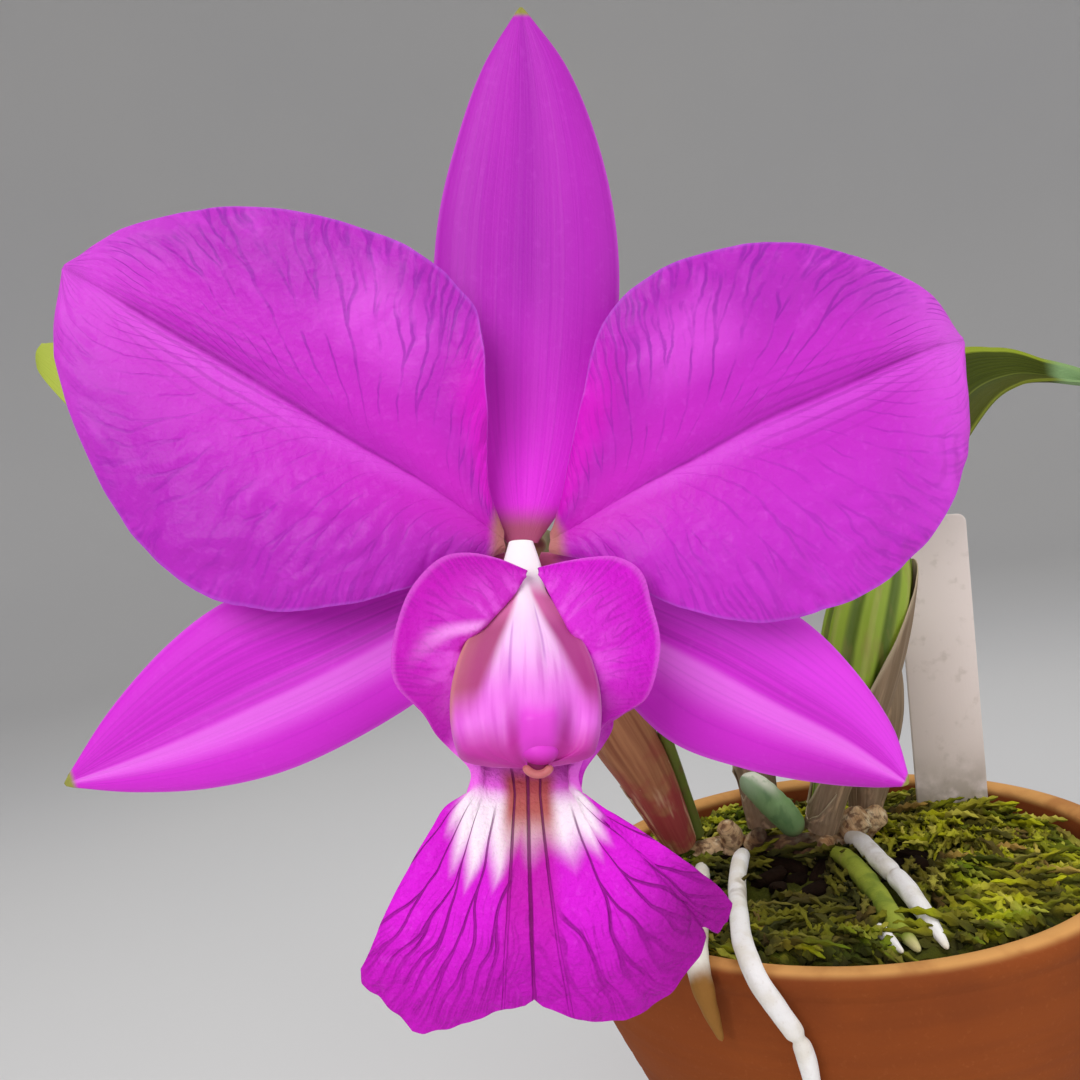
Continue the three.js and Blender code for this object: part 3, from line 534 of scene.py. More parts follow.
# Cream patches: paler skin and painted highlights on the knobs; dark patches: painted shade in its
# hollows. The dark rings are its own.
woody.paint(
    (woody.grain(2.6, detail=3).rise(0.52, 0.7, 0.8), (240, 222, 184)),
    (woody.grain(1.5, detail=5).rise(0.48, 0.64, 0.75), (92, 56, 40)),
    (shaded_middle * woody.grain(4, detail=3).rise(0.2, 0.5) * 0.9, (54, 34, 24)),
    (scales.rise(0.88, 0.98, 0.6), (84, 54, 38)))
woody.relief(woody.grain(1.4, detail=4) - scales, 0.3)

reach = round_reach(RHIZOME_RADII, knobs=0.09, wave=0.2, seed=31)
stem_piece("rhizome_stem", RHIZOME, 90, 32, reach, woody, "rhizome", ["rhizome"], side=(0, 0, 1))
STUB_GRID = (24, 20)
# Each stub: the middle of its foot, half and tip, and its radii there.
STUBS = [
    ([[-21, 6, 82], [-22, 4, 85.5], [-23.4, 2.4, 88.4]], [2.6, 2.4, 1.7]),
    ([[-18, 4, 82], [-17, 1.4, 84.8], [-16.2, -0.6, 86.4]], [2.1, 1.9, 1.5]),
    ([[2, 3, 82], [4.2, 0.6, 85.4], [6.4, -0.6, 87]], [2.7, 3, 2.3]),
    ([[5.6, 4, 82], [8.6, 2.6, 85], [10.6, 1.2, 86.2]], [2.4, 2.5, 1.9]),
    ([[-2, 0.6, 81], [-3.6, -3.6, 83.4], [-5.4, -6.6, 83.6]], [2, 1.7, 1]),
]
for i, (path, radii) in enumerate(STUBS):
    reach = round_reach(radii, ends=0.12, knobs=0.1, wave=0.5, seed=40 + i)
    stem_piece(f"rhizome_stub_{i}", path, *STUB_GRID, reach, woody, "rhizome")

# ---- Roots ----
# Thick aerial roots with a spongy white coat, crawling over the moss and down the outside of the pot.
# The old coat turns tan and the growing stretches are green.
ROOTS = {
    "root_front": (
        [[-20.6, -1.6, 83], [-22.7, -8.9, 84], [-25.4, -20, 84], [-27.4, -32, 83.6],
         [-28.9, -42, 83.2], [-29.1, -49.3, 82.1], [-28.2, -52.8, 79.6], [-26, -54.2, 75.4],
         [-23.4, -54.4, 70], [-22.4, -53.9, 63.5], [-21.4, -50.4, 52.5]],
        [1.5, 1.7, 1.7, 1.7, 1.8, 1.8, 1.8, 1.7, 1.6, 1.5, 0.9]),
    "root_left": (
        [[-29.6, -1.2, 81], [-31, -10, 82.4], [-33.5, -24, 82.8], [-36.2, -38, 82.8],
         [-37.4, -45, 81.8], [-37, -48.2, 76.4], [-35.4, -48.8, 69.2]],
        [1.5, 1.7, 1.9, 2, 2.1, 1.7, 0.5]),
    "root_right": (
        [[1.8, -1.6, 83], [2.6, -8, 84.2], [3.1, -17.2, 83.6], [4, -29, 82.6], [3.9, -40.6, 81.2],
         [3.8, -49.4, 79.6]],
        [1.5, 1.8, 1.9, 1.9, 1.5, 0.5]),
    "root_green": (
        [[-3, -3.4, 81.4], [-1.4, -10, 82], [-1, -19, 81.8], [-1, -27.5, 81.2], [-1.2, -39.3, 80.4],
         [-0.5, -48, 79.2]],
        [1.4, 1.9, 2.1, 2.1, 1.8, 0.6]),
    "root_small": (
        [[-9, -2, 77.4], [-8.6, -14, 76.8], [-6.6, -28, 77.8], [-4.4, -40, 79.8], [-3.7, -49.4, 80.1]],
        [1.1, 1.3, 1.3, 1.3, 0.4]),
}
ROOT_ROWS_A_KNOT = 16
ROOT_SIDES = 24
ROOT_NECKS = {"root_front": (0.785,), "root_right": (0.52,)}


def root_finish(name, coat, mottle, tip, tip_start):
    """A spongy coat in two cloudy colours with fine pits, passing into the colour of the tip."""
    finish = Finish(name, 0.8, 0.3)
    along = finish.course()[0]
    finish.ground(finish.grain(7, detail=5).rise(0.42, 0.68), coat, mottle)
    soil = finish.grain(9, detail=3).rise(0.58, 0.7, 0.6) * along.rise(0.72, 0.5)
    fading = along + finish.grain(5) * 0.08
    finish.paint(
        (finish.grain(0.8, detail=5).rise(0.58, 0.76, 0.16), (170, 146, 108)),
        (soil, (146, 122, 84)),
        (fading.rise(tip_start, tip_start + 0.1), tip))
    finish.relief(finish.grain(0.7, detail=6), 0.12)
    return finish


white_coat = root_finish("root coat", (252, 250, 248), (238, 232, 220), (236, 228, 204), 0.97)
tan_coat = root_finish("root coat with tan tip", (242, 238, 226), (222, 210, 184), (148, 102, 42),
                       0.72)
green_coat = root_finish("green root coat", (156, 168, 56), (110, 130, 36), (206, 198, 140), 0.93)
for i, (name, (path, radii)) in enumerate(ROOTS.items()):
    coat = {"root_left": tan_coat, "root_green": green_coat}.get(name, white_coat)
    reach = round_reach(radii, knobs=0.06, wave=0.13, seed=50 + i, necks=ROOT_NECKS.get(name, ()))
    rows = ROOT_ROWS_A_KNOT * len(path)
    stem_piece(f"{name}_coat", path, rows, ROOT_SIDES, reach, coat, "root", [name])

# ---- New shoot ----
# A young growth breaking from the rhizome: a soft blue-green bud in pale overlapping scales.
SHOOT = [[-8.5, -1.5, 85.6], [-11.5, -2.6, 90.6], [-15.6, -2.6, 96], [-19, -2.6, 99.6]]
SHOOT_RADII = [2.5, 3, 2.9, 2]
SHOOT_SCALES = 2

bud_green = Finish("new shoot", 0.6, 0.35)
along, across, _ = bud_green.course()
bud_green.ground(bud_green.grain(4), (96, 134, 80), (134, 166, 110))
# bloom is a painted highlight: a whitish patch on one side of the upper half, where the bud faces the
# light.
bloom = across.rise(0.1, 0.8) * along.rise(0.45, 0.75) * bud_green.grain(3).rise(0.2, 0.42)
bud_green.paint(
    (bud_green.grain(1.6, stretch=(1, 1, 0.4)).rise(0.5, 0.7, 0.4), (66, 104, 64)),
    (along.rise(0.5, 1, 0.5), (176, 196, 168)),
    (bloom * 0.9, (232, 230, 214)),
    (along.rise(0.2, 0, 0.7), (120, 110, 80)))
bud_green.relief(bud_green.grain(0.8, stretch=(1, 1, 0.3)), 0.08)


def bud_reach(u, angle):
    """A round section that steps in by a twentieth at the edge of each overlapping scale."""
    x, y = round_reach(SHOOT_RADII, ends=0.16, knobs=0.02)(u, angle)
    step = 1 + 0.05 * ((SHOOT_SCALES * u + 0.16 * np.cos(angle)) % 1 - 0.5)
    return x * step, y * step


stem_piece("new_shoot_bud", SHOOT, 72, 28, bud_reach, bud_green, "shoot", ["new_shoot"])

# ---- Pseudobulbs ----
# Swollen, ridged water-storing stems, one behind the other along the rhizome. Each stands in the dry
# papery sheaths it grew out of, which wrap round it and end in a torn edge.
# Each bulb: its middle line, its radii along it, how far up its sheaths reach, and their slant.
BULBS = {
    "pseudobulb_lead": (
        [[-33, 3.6, 85.2], [-36, -0.6, 94.6], [-39.2, -3.8, 104], [-43.4, -6.8, 114.4],
         [-48.6, -11.4, 127.4], [-54.6, -20.4, 144.4]], [2.8, 3.9, 5, 5.9, 5.2, 2.4], 0.9, 0),
    "pseudobulb_right": (
        [[-3.5, 0, 85.2], [-0.2, -1.8, 96], [4.4, -4, 109], [8.6, -6.6, 124.6], [13.2, -7.4, 138],
         [16.9, -7.5, 147]], [2.8, 3.6, 6.2, 7.9, 6.8, 3], 0.5, 0.4),
    "pseudobulb_back": (
        [[-14, 7, 85], [-14, 9, 98], [-13, 11.6, 114], [-11, 13.4, 132], [-8.4, 14, 149]],
        [2.8, 3.8, 6.6, 6.2, 2.6], 0.35, 0.06),
    "pseudobulb_old": (
        [[8.5, 8.6, 84.6], [11, 10, 94], [14, 12, 106], [15.8, 13.4, 116], [16.8, 14.2, 124]],
        [2.6, 4.4, 6, 5.2, 2], 0.8, 0.06),
}
BULB_RIDGES = 7
BULB_GRID = (72, 84)
SHEATH_ROWS = 36
SHEATH_COLUMNS = 96
SHEATH_THICKNESS = 0.22
# The two sheaths of a bulb: share of its sheath's height, starting angle, turns and flare.
SHEATHS = ((1.0, 0.4, 1.08, 0.5), (0.45, 3.4, 1.05, 0.1))

bulb_green = Finish("pseudobulb", 0.5, 0.45)
_, across, up = bulb_green.course()
angle = up.by("ARCTAN2", across)
ridge = (angle * BULB_RIDGES).by("COSINE")
bulb_green.ground(bulb_green.grain(14), (128, 160, 36), (168, 190, 60))
# Painted shade in the grooves between the ridges, and a painted highlight on the ridge tops.
bulb_green.paint(
    (ridge.rise(0.1, -0.95, 0.75), (56, 80, 18)),
    (ridge.rise(0.75, 1, 0.35), (184, 180, 104)),
    (bulb_green.grain(2.2, stretch=(1, 1, 0.2)).rise(0.5, 0.7, 0.35), (150, 132, 72)))
bulb_green.relief(bulb_green.grain(0.9, stretch=(1, 1, 0.12), detail=5), 0.12)


def bulb_reach(radii):
    """A round section times 1 + 0.055 cos(ridges angle) + 0.02 cos(3 ridges angle): rounded ridges
    and fine creases, growing from nothing over the lowest quarter."""
    def reach(u, angle):
        x, y = round_reach(radii, ends=0.025, knobs=0.012, wave=0.3)(u, angle)
        relief = 0.055 * np.cos(BULB_RIDGES * angle) + 0.02 * np.cos(3 * BULB_RIDGES * angle)
        ridged = 1 + relief * np.minimum(1, 4 * u)
        return x * ridged, y * ridged
    return reach


def blade(middle, thickness):
    """Rings round a thin blade: across one face and back across the other, half the thickness to each
    side of the middle surface, along the cross product of its two directions."""
    normal = unit(np.cross(np.gradient(middle, axis=0), np.gradient(middle, axis=1)))
    half = normal * (thickness / 2)[..., None]
    return np.concatenate([middle + half, (middle - half)[:, ::-1]], 1)


def both_faces(first, second, third, flip=False):
    """A blade's course: three numbers on its grid, the same on both faces, or the third with its sign
    turned on the far face."""
    near = together(first, second, third)
    far = near[:, ::-1] * ([1, 1, -1] if flip else [1, 1, 1])
    return np.concatenate([near, far], 1)


def sheath(path, radii, top, slant, start, wrap, flare, seed):
    """A papery scale wrapped round a bulb: a sheet that starts at one angle, winds round by wrap turns
    while it moves outwards, flares at its top and ends there in a torn edge, higher by slant cosine on
    one side."""
    turn = np.linspace(0, 1, SHEATH_COLUMNS)
    angle = start + TURN * wrap * turn
    edge = top + slant * np.cos(angle) + 0.02 * unevenness(angle, 0, 0.9, seed)
    edge = edge - 0.12 * np.maximum(0, np.abs(2 * turn - 1) - 0.55)
    rise = np.linspace(0.01, 1, SHEATH_ROWS)[:, None]
    u = within(rise * edge)
    radius = through(radii, u) + 0.3 + 0.45 * turn
    radius = radius + flare * within(rise * 6 - 5) ** 2
    radius = radius + 0.12 * unevenness(12 * angle, 8 * rise, 3, seed)
    sideways, upwards = bearings(path, u)
    middle = through(path, u) + (radius * np.cos(angle))[..., None] * sideways
    middle = middle + (radius * np.sin(angle))[..., None] * upwards
    return blade(middle, np.full(u.shape, SHEATH_THICKNESS)), both_faces(rise, turn, 0)


def paper_finish(name, light, dark, blush):
    """Dry papery scale: long fibres in two colours, a blush low down, cream flecks and a dry edge."""
    finish = Finish(name, 0.7, 0.35)
    rise, turn, _ = finish.course()
    fibres = finish.grain(6, place=finish.point(turn * 0.22, rise * 0.012))
    finish.ground(fibres.rise(0.3, 0.72), dark, light)
    low = rise.rise(0.8, 0.3) * finish.grain(9, detail=3).rise(0.4, 0.58) * 0.85
    lengthwise = finish.point(turn * 0.05, rise * 0.011)
    finish.paint(
        (low, blush),
        (finish.grain(5, place=lengthwise).rise(0.56, 0.68, 0.6), (214, 178, 144)),
        (rise.rise(0.9, 1, 0.7), (206, 188, 158)))
    finish.relief(fibres, 0.25)
    return finish


pink_paper = paper_finish("pink papery sheath", (176, 120, 82), (138, 80, 54), (152, 44, 56))
taupe_paper = paper_finish("taupe papery sheath", (160, 136, 110), (130, 108, 84), (142, 116, 90))
for i, (name, (path, radii, sheath_top, slant)) in enumerate(BULBS.items()):
    stem_piece(f"{name}_flesh", path, *BULB_GRID, bulb_reach(radii), bulb_green, "pseudobulb", [name])
    dry = pink_paper if name == "pseudobulb_lead" else taupe_paper
    for k, (share, start, wrap, flare) in enumerate(SHEATHS):
        top, tilt, seed = sheath_top * share, slant * share, 60 + 3 * i + k
        rings, course = sheath(path, radii, top, tilt, start + i, wrap, flare, seed)
        piece(f"{name}_sheath_{k}", rings, dry, [name], course)

# ---- Leaves ----
# One thick, leathery leaf on top of each living growth, folded along its midrib: olive green, with a
# paler yellow-green margin and fine lengthwise veins.
LEAVES = {
    "leaf_lead": dict(
        midrib=[[-54.7, -21.2, 145.2], [-63, -25, 158.2], [-80, -29.4, 172.2], [-99, -33, 182.8],
                [-118, -36, 192.6], [-133.4, -38.4, 201]],
        half_widths=[2.2, 9, 16, 18.4, 14.6, 8], face=[0.2, -0.7, 0.68], fold=0.16, curl=-3,
        narrower=0),
    "leaf_right": dict(
        midrib=[[17.2, -7.5, 147.9], [28.4, -2.9, 161.3], [40, 1.6, 171.2], [49.9, 4.7, 173.9],
                [58.3, 6.6, 172.9], [67.6, 8.5, 170.4]],
        half_widths=[2.4, 9.4, 11.2, 7.8, 3.8, 2.6], face=[-0.2, -0.75, 0.63], fold=0.28, curl=2,
        narrower=0.56),
    "leaf_back": dict(
        midrib=[[-8, 14.1, 150], [-2, 18, 162], [6, 24, 175], [15, 32, 187], [24, 40, 194]],
        half_widths=[2.2, 9, 14, 12, 7], face=[0.1, -0.8, 0.6], fold=0.18, curl=-2, narrower=0),
}
LEAF_THICKNESS = 1.7
LEAF_TIP_START = 0.8


def grid(rows, columns):
    """Two parameters on a grid: u from 0 to 1 down the rows, and v from -1 to 1 across them."""
    return np.broadcast_arrays(np.linspace(0, 1, rows)[:, None], np.linspace(-1, 1, columns))


def leaf_middle(u, v, midrib, half_widths, face, fold, curl, narrower):
    """A folded blade: half-width times v across the midrib, rounded off at the tip as a quarter circle
    is, lifted by fold times the distance from the midrib and by curl v^2 u^4, with a slight ripple
    along the margin. The second side is narrower by the share narrower sin(pi u)^0.7."""
    along = direction(midrib, u)
    across = unit(np.cross(along, unit(np.array(face, float))))
    upright = np.cross(across, along)
    tip = np.maximum(0, (u - LEAF_TIP_START) / (1 - LEAF_TIP_START))
    side = v * (1 - narrower * (v > 0) * np.sin(math.pi * u) ** 0.7)
    reach = through(half_widths, u) * side * np.sqrt(1 - 0.97 * tip**2)
    lift = fold * np.sqrt(reach**2 + 0.3) + curl * v**2 * u**4 + 0.3 * v**2 * np.sin(9 * u + v)
    return through(midrib, u) + reach[..., None] * across + lift[..., None] * upright


leather = Finish("leaf", 0.6, 0.1)
across, along, _ = leather.course()
from_midrib = abs(across)
veins = leather.grain(5, place=leather.point(across * 0.11, along * 0.01))
leather.ground(leather.grain(20), (48, 56, 8), (68, 77, 14))
place_x = leather.split(leather.place)[0]
leather.paint(
    (veins.rise(0.4, 0.65, 0.5), (40, 48, 8)),
    (from_midrib.rise(0.06, 0, 0.5), (110, 118, 44)),
    (across.rise(0.02, 0.5, 0.6), (66, 68, 0)),
    (across.rise(-0.78, -0.86, 0.8), (146, 160, 44)),
    (across.rise(0.9, 1, 0.5), (140, 150, 50)),
    (along.rise(0.78, 0.88, 0.85), (138, 172, 118)),
    (place_x.rise(-0.122, -0.131, 0.85), (172, 182, 62)))
leather.relief(veins + leather.grain(0.6) * 0.3, 0.16)

u, v = grid(90, 40)
thickness = LEAF_THICKNESS * (1 - 0.65 * v**4) * (1 - 0.4 * u**3)
for name, form in LEAVES.items():
    rings = blade(leaf_middle(u, v, **form), thickness)
    piece(f"{name}_blade", rings, leather, [name], both_faces(v, u, 0))

# ---- Plant label ----
# A blank white plastic stake pushed down into the bark beside the growths, a little yellowed and
# stained where it enters the moss.
LABEL_WIDTH = 16
LABEL_LENGTH = 105
LABEL_LEAN = (math.radians(-6), math.radians(2.6))
LABEL_FOOT = (30.9, 22.4, 41)
half = LABEL_WIDTH / 2
corner = np.linspace(0, math.pi / 2, 9)
right_side = np.vstack([
    [[0.4, 0.3], [3, 5.2], [5.6, 9.8], [half - 0.2, 13.6], [half, 14.6]],
    np.stack([np.full(30, half), np.linspace(18, LABEL_LENGTH - 4, 30)], -1),
    np.stack([half - 2 + 2 * np.cos(corner), LABEL_LENGTH - 2 + 2 * np.sin(corner)], -1),
    [[1, LABEL_LENGTH]]])
outline = np.vstack([right_side, right_side[::-1] * [-1, 1]])
middle = np.array([0, LABEL_LENGTH / 2])
slab = []
for inset, depth in ((0.3, -0.45), (0.09, -0.38), (0, -0.22), (0, 0.22), (0.09, 0.38), (0.3, 0.45)):
    shrunk = middle + (outline - middle) * (1 - inset / np.array([half, LABEL_LENGTH / 2]))
    slab.append(np.stack([shrunk[:, 0], np.full(len(outline), -depth), shrunk[:, 1]], -1))
lean = Matrix.Rotation(LABEL_LEAN[1], 3, "Y") @ Matrix.Rotation(LABEL_LEAN[0], 3, "Z")
slab = np.array(slab) @ np.array(lean).T + LABEL_FOOT

plastic = Finish("label plastic", 0.5, 0.4)
height = plastic.split(plastic.place)[2]
plastic.ground(plastic.grain(30, detail=2), (248, 234, 228), (238, 224, 218))
stain = height.rise(0.094, 0.076, 0.7) * plastic.grain(5, detail=5).rise(0.3, 0.6)
plastic.paint(
    (plastic.grain(3, detail=6).rise(0.55, 0.75, 0.3), (180, 164, 148)),
    (stain, (128, 116, 82)))
plastic.relief(plastic.grain(0.4, stretch=(1, 1, 0.2)), 0.02)
piece("label_stake", slab, plastic, ["plant_label"])

# ---- Flower stalk ----
# The slim green scape that rises from the newest growth, arches forwards and ends in the flower's
# three-ribbed ovary.
STALK = [[-28.8, 7.2, 85], [-30.2, 4.8, 93], [-34, -6, 111.6], [-39, -27, 135], [-47, -58, 152],
         [-54, -84, 158.4], [-55.9, -97.4, 158.2]]
STALK_RADII = [1.7, 1.5, 1.35, 1.35, 1.4, 1.9, 2.6]
OVARY_START = 0.72

scape = Finish("flower stalk", 0.45, 0.45)
along = scape.course()[0]
scape.ground(scape.grain(9), (88, 104, 36), (118, 130, 54))
scape.paint(
    (scape.grain(3, stretch=(1, 0.3, 1)).rise(0.5, 0.7, 0.5), (116, 74, 60)),
    (along.rise(0.72, 0.98, 0.7), (176, 150, 104)))
scape.relief(scape.grain(0.6, stretch=(1, 0.25, 0.6)), 0.06)


def stalk_reach(u, angle):
    """A round section; along the ovary it grows three rounded ribs, a tenth of the radius high."""
    x, y = round_reach(STALK_RADII, ends=0.01, knobs=0.03)(u, angle)
    ribs = 1 + 0.1 * np.cos(3 * angle) * within((u - OVARY_START) / 0.06)
    return x * ribs, y * ribs


stem_piece("flower_scape", STALK, 180, 36, stalk_reach, scape, "stalk", ["flower_stalk"])

# ---- Sepals ----
# The three outer segments of the flower, smooth and firm: one upright, two spreading down and to the
# sides. Each is lilac-purple with faint lengthwise veins, olive at its claw and green at its very tip.
BLOOM_CENTRE = np.array([-55.9, -102.2, 158.9])
BLOOM_PITCH = math.radians(87.3)
BLOOM_ROLL = math.radians(-8.2)
BLOOM_TURN = np.array(Matrix.Rotation(BLOOM_PITCH, 3, "X") @ Matrix.Rotation(BLOOM_ROLL, 3, "Z"))


def in_bloom(points):
    """From the bloom's own axes, X right, Y up and Z out of its face, to the pot's."""
    return BLOOM_CENTRE + points @ BLOOM_TURN.T


# Each row of numbers, from claw to tip: first edge X and Y, midrib X and Y, last edge X and Y, Z.
DORSAL_SEPAL = [
    [-1.6, 0.2, 0.2, 0.2, 2, 0.2, -2.8], [-6.2, 7.6, 0.2, 7.6, 6.6, 7.6, -3.2],
    [-9.4, 18.1, 0.3, 18.1, 10.1, 18.1, -3.5], [-10.3, 28.8, 0.5, 28.8, 11.5, 28.8, -3.8],
    [-9.7, 38.8, 0.7, 38.8, 11, 38.8, -4.2], [-7.4, 48.4, 0.8, 48.4, 8.8, 48.4, -4.5],
    [-4.4, 56.7, 0.5, 56.7, 5.3, 56.7, -4.7], [-0.3, 63.4, 0, 63.5, 0.3, 63.4, -5]]
LATERAL_SEPAL_LEFT = [
    [-1.6, -0.9, -1.2, -2, -0.6, -3.2, -2.8], [-7.6, -1.2, -6.8, -5.3, -4.1, -9.4, -3.3],
    [-16.5, -2, -14.1, -9.8, -9.4, -16.1, -3.7], [-25.9, -3.9, -22.4, -14.1, -17.1, -21.5, -3.9],
    [-34.7, -6.7, -31.2, -18.2, -27.1, -26.4, -4], [-41.8, -12, -38.8, -21.8, -36.5, -28.7, -4],
    [-48.4, -19.6, -45.8, -24.9, -45.2, -29.1, -3.8], [-53.2, -27.5, -53.3, -27.9, -53, -28.3, -3.4]]
LATERAL_SEPAL_RIGHT = [
    [2.4, -0.9, 2, -2, 1.4, -3.2, -2.8], [9, -1.3, 7.6, -5.3, 5.2, -9, -3.3],
    [17, -2, 14.6, -9.8, 10.5, -15.9, -3.7], [25.8, -4.7, 22.9, -13.9, 17.6, -23.1, -3.9],
    [33.5, -9.1, 30.5, -18.2, 26.4, -26.4, -4], [39.3, -14.9, 37.6, -22.1, 35.2, -28.1, -4],
    [43.7, -21.5, 42.4, -25.5, 41.3, -28.5, -3.8], [45.4, -27.5, 45.3, -27.9, 45, -28.2, -3.4]]
SEPAL_THICKNESS = 0.9
SEPAL_RELIEF = dict(channel=0.9, reflex=1.9, waves=2, wave_height=0.15, fold=0)


def tepal_middle(stations, u, v, channel, reflex, waves, wave_height, fold):
    """A sepal or petal: from the midrib to an edge by the share |v|, then lifted by channel open
    (v^2 + 0.004)^0.65, rolled back by reflex open |v|^4 and waved, where open = sin(pi u)^0.8;
    the first side also folds forwards by fold |v|^3 round u = 0.3."""
    place = through(stations, u[:, 0])[:, None]
    away = np.abs(v)
    edge = np.where((v < 0)[..., None], place[..., 0:2], place[..., 4:6])
    midrib = place[..., 2:4]
    flat = midrib + (edge - midrib) * away[..., None]
    wide = np.sin(math.pi * u) ** 0.8
    lift = channel * wide * (v**2 + 0.004) ** 0.65 - reflex * wide * away**4
    lift = lift + wave_height * wide * away**3 * np.sin(TURN * waves * u + v)
    lift = lift + np.where(v < 0, fold * away**3 * bell(u - 0.3, 0.16), 0)
    return np.concatenate([flat, (place[..., 6] + lift)[..., None]], -1)


def veins(finish, line, reach, forks, width):
    """Veins along whole lines: 1 on a vein, 0 off it. Each line forks twice: the distance from it, |x|,
    becomes ||x| - b|, where b grows from 0 to a quarter of the spacing past the first fork, and then
    once more with an eighth past the second. Where a line forks differs from line to line."""
    luck = finish.value("TexWhiteNoise", {"W": line.by("FLOOR")}, noise_dimensions="1D")
    away = abs(line.by("FRACT") - 0.5)
    for fork, spread in zip(forks, (0.25, 0.125)):
        start = fork - 0.12 + luck * 0.24
        opening = reach.rise(start, start + 0.28, spread)
        away = abs(away - opening)
    return away.rise(width, width * 0.25)


def flower_finish(name, roughness=0.4, gloss=0.25):
    """Petal tissue: light goes a little way in, and a faint sheen lies on it."""
    return Finish(name, roughness, gloss, Sheen_Weight=0.02, Sheen_Roughness=0.4,
                  Subsurface_Weight=0.12, Subsurface_Scale=0.0012, Subsurface_Radius=(1, 0.25, 0.9))


def right_half(finish):
    """0 up to the bloom's middle and 1 from a centimetre right of it."""
    middle = BLOOM_CENTRE[0] * MM
    return finish.split(finish.place)[0].rise(middle, middle + 0.01)


sepal_skin = flower_finish("sepal", 0.45, 0.16)
across, along, spreading = sepal_skin.course()
beside = abs(across)
threads = sepal_skin.grain(5, place=sepal_skin.point(across * 0.1, along * 0.007))
sepal_skin.ground(sepal_skin.grain(18, detail=2), (172, 32, 178), (190, 44, 192))
under_petal = across.rise(-0.95, -0.3) * across.rise(0.08, 0)
shaded = under_petal * spreading * threads.rise(0.3, 0.66) * 0.4
# keel: a painted highlight along the midrib of each lateral sepal.
keel = across.rise(0.02, 0.12) * across.rise(0.62, 0.2) * spreading * 0.6
on_right = right_half(sepal_skin) * spreading
upright = (1 - spreading) * along.rise(0.3, 0.55)
sepal_skin.paint(
    # Painted light: lighter towards the claws, where the neighbouring parts shade them.
    (along.rise(0.5, 0.08, 0.85), (244, 48, 238)),
    # Painted light: the lateral sepals lighter all over.
    (spreading * 0.7, (222, 46, 220)),
    (shaded, (156, 26, 164)),
    (keel, (248, 130, 250)),
    # Painted light on the upper half of the right lateral sepal, and painted shade at its lower edge
    # towards the tip.
    (on_right * across.rise(0, -0.5) * 0.6, (234, 74, 240)),
    (on_right * across.rise(0.3, 0.8) * along.rise(0.45, 0.8) * 0.6, (168, 34, 164)),
    (beside.rise(0.34, 0) * upright * 0.5, (158, 24, 168)),
    (threads.rise(0.5, 0.72, 0.2), (154, 30, 170)),
    # Painted glints: fine pale specks.
    (sepal_skin.grain(1.1, detail=4).rise(0.55, 0.75, 0.08), (228, 100, 232)),
    (beside.rise(0.94, 1, 0.4), (216, 104, 224)),
    (along.rise(0.1, 0.03, 0.9), (168, 84, 96)),
    (along.rise(0.972, 0.988), (150, 150, 70)))
sepal_skin.relief(threads + sepal_skin.grain(0.4) * 0.35, 0.06)

u, v = grid(100, 46)
SEPALS = {"dorsal_sepal": DORSAL_SEPAL, "lateral_sepal_left": LATERAL_SEPAL_LEFT,
          "lateral_sepal_right": LATERAL_SEPAL_RIGHT}
for name, stations in SEPALS.items():
    middle = tepal_middle(stations, u, v, **SEPAL_RELIEF)
    spreading = float(name != "dorsal_sepal")
    length = np.sin(math.pi * u)
    middle[..., 2] += spreading * 0.55 * length * bell(v - 0.06, 0.13)
    middle[..., 2] += 0.07 * unevenness(14 * v, 3 * u, 4, 71) * (1 - v**6) * length
    rings = blade(in_bloom(middle), SEPAL_THICKNESS * (1 - 0.6 * v**6) * (1 - 0.3 * u**4))
    piece(f"{name}_blade", rings, sepal_skin, [name], both_faces(v, u, spreading))

# ---- Petals ----
# The two broad inner segments, soft and slightly channelled along the midrib. Branching veins fan out
# from the claw to the margin, fine ribs run beside the midrib, and the tissue between the veins
# puckers into fine pleats towards the edge.
PETAL_LEFT = [
    [-2.3, 2, -2.1, 0.6, -1.9, -0.8, -1.3], [-3.7, 7.4, -5.6, 3.4, -5.9, -2.3, 0.4],
    [-3.7, 16.9, -11.2, 7.3, -11.8, -4.5, 1.6], [-4.9, 25.9, -18.4, 11.5, -18.9, -6.5, 2.3],
    [-11.8, 32.5, -26, 16.2, -28.3, -7.2, 2.6], [-22.3, 36.4, -33.7, 20.9, -37, -4.3, 2.4],
    [-34, 37.6, -41.2, 25.3, -45.3, 4.2, 1.7], [-44.4, 35.7, -47.4, 29, -52.4, 20.6, 0.6],
    [-52, 32.2, -52.3, 31.8, -52.5, 31.3, -1]]
PETAL_RIGHT = [
    [3.8, 1.7, 3.6, 0.5, 3.4, -0.9, -1.3], [4.9, 6.2, 7.4, 2.8, 8, -1.9, 0.4],
    [6.7, 15.4, 13.5, 6.5, 13.5, -5, 1.6], [9.5, 25, 20.2, 10.1, 20.2, -7.6, 2.3],
    [16.3, 30.6, 27.3, 14.1, 29, -8.4, 2.6], [26, 33.4, 34.5, 17.2, 38.3, -5.2, 2.4],
    [36.9, 32.4, 41.3, 20.2, 45.8, 0.9, 1.7], [45.9, 28.4, 46.8, 22.4, 50.5, 10.7, 0.6],
    [50.4, 23.8, 50.7, 23.4, 50.8, 22.7, -1]]
PETAL_THICKNESS = 0.8
PETAL_VEINS = 15.0
PETAL_HAIRS = 33.0
PETAL_RIBS = 105.0
PETAL_RELIEF = dict(channel=3.4, reflex=2.6, waves=5, wave_height=0.45, fold=1.6)


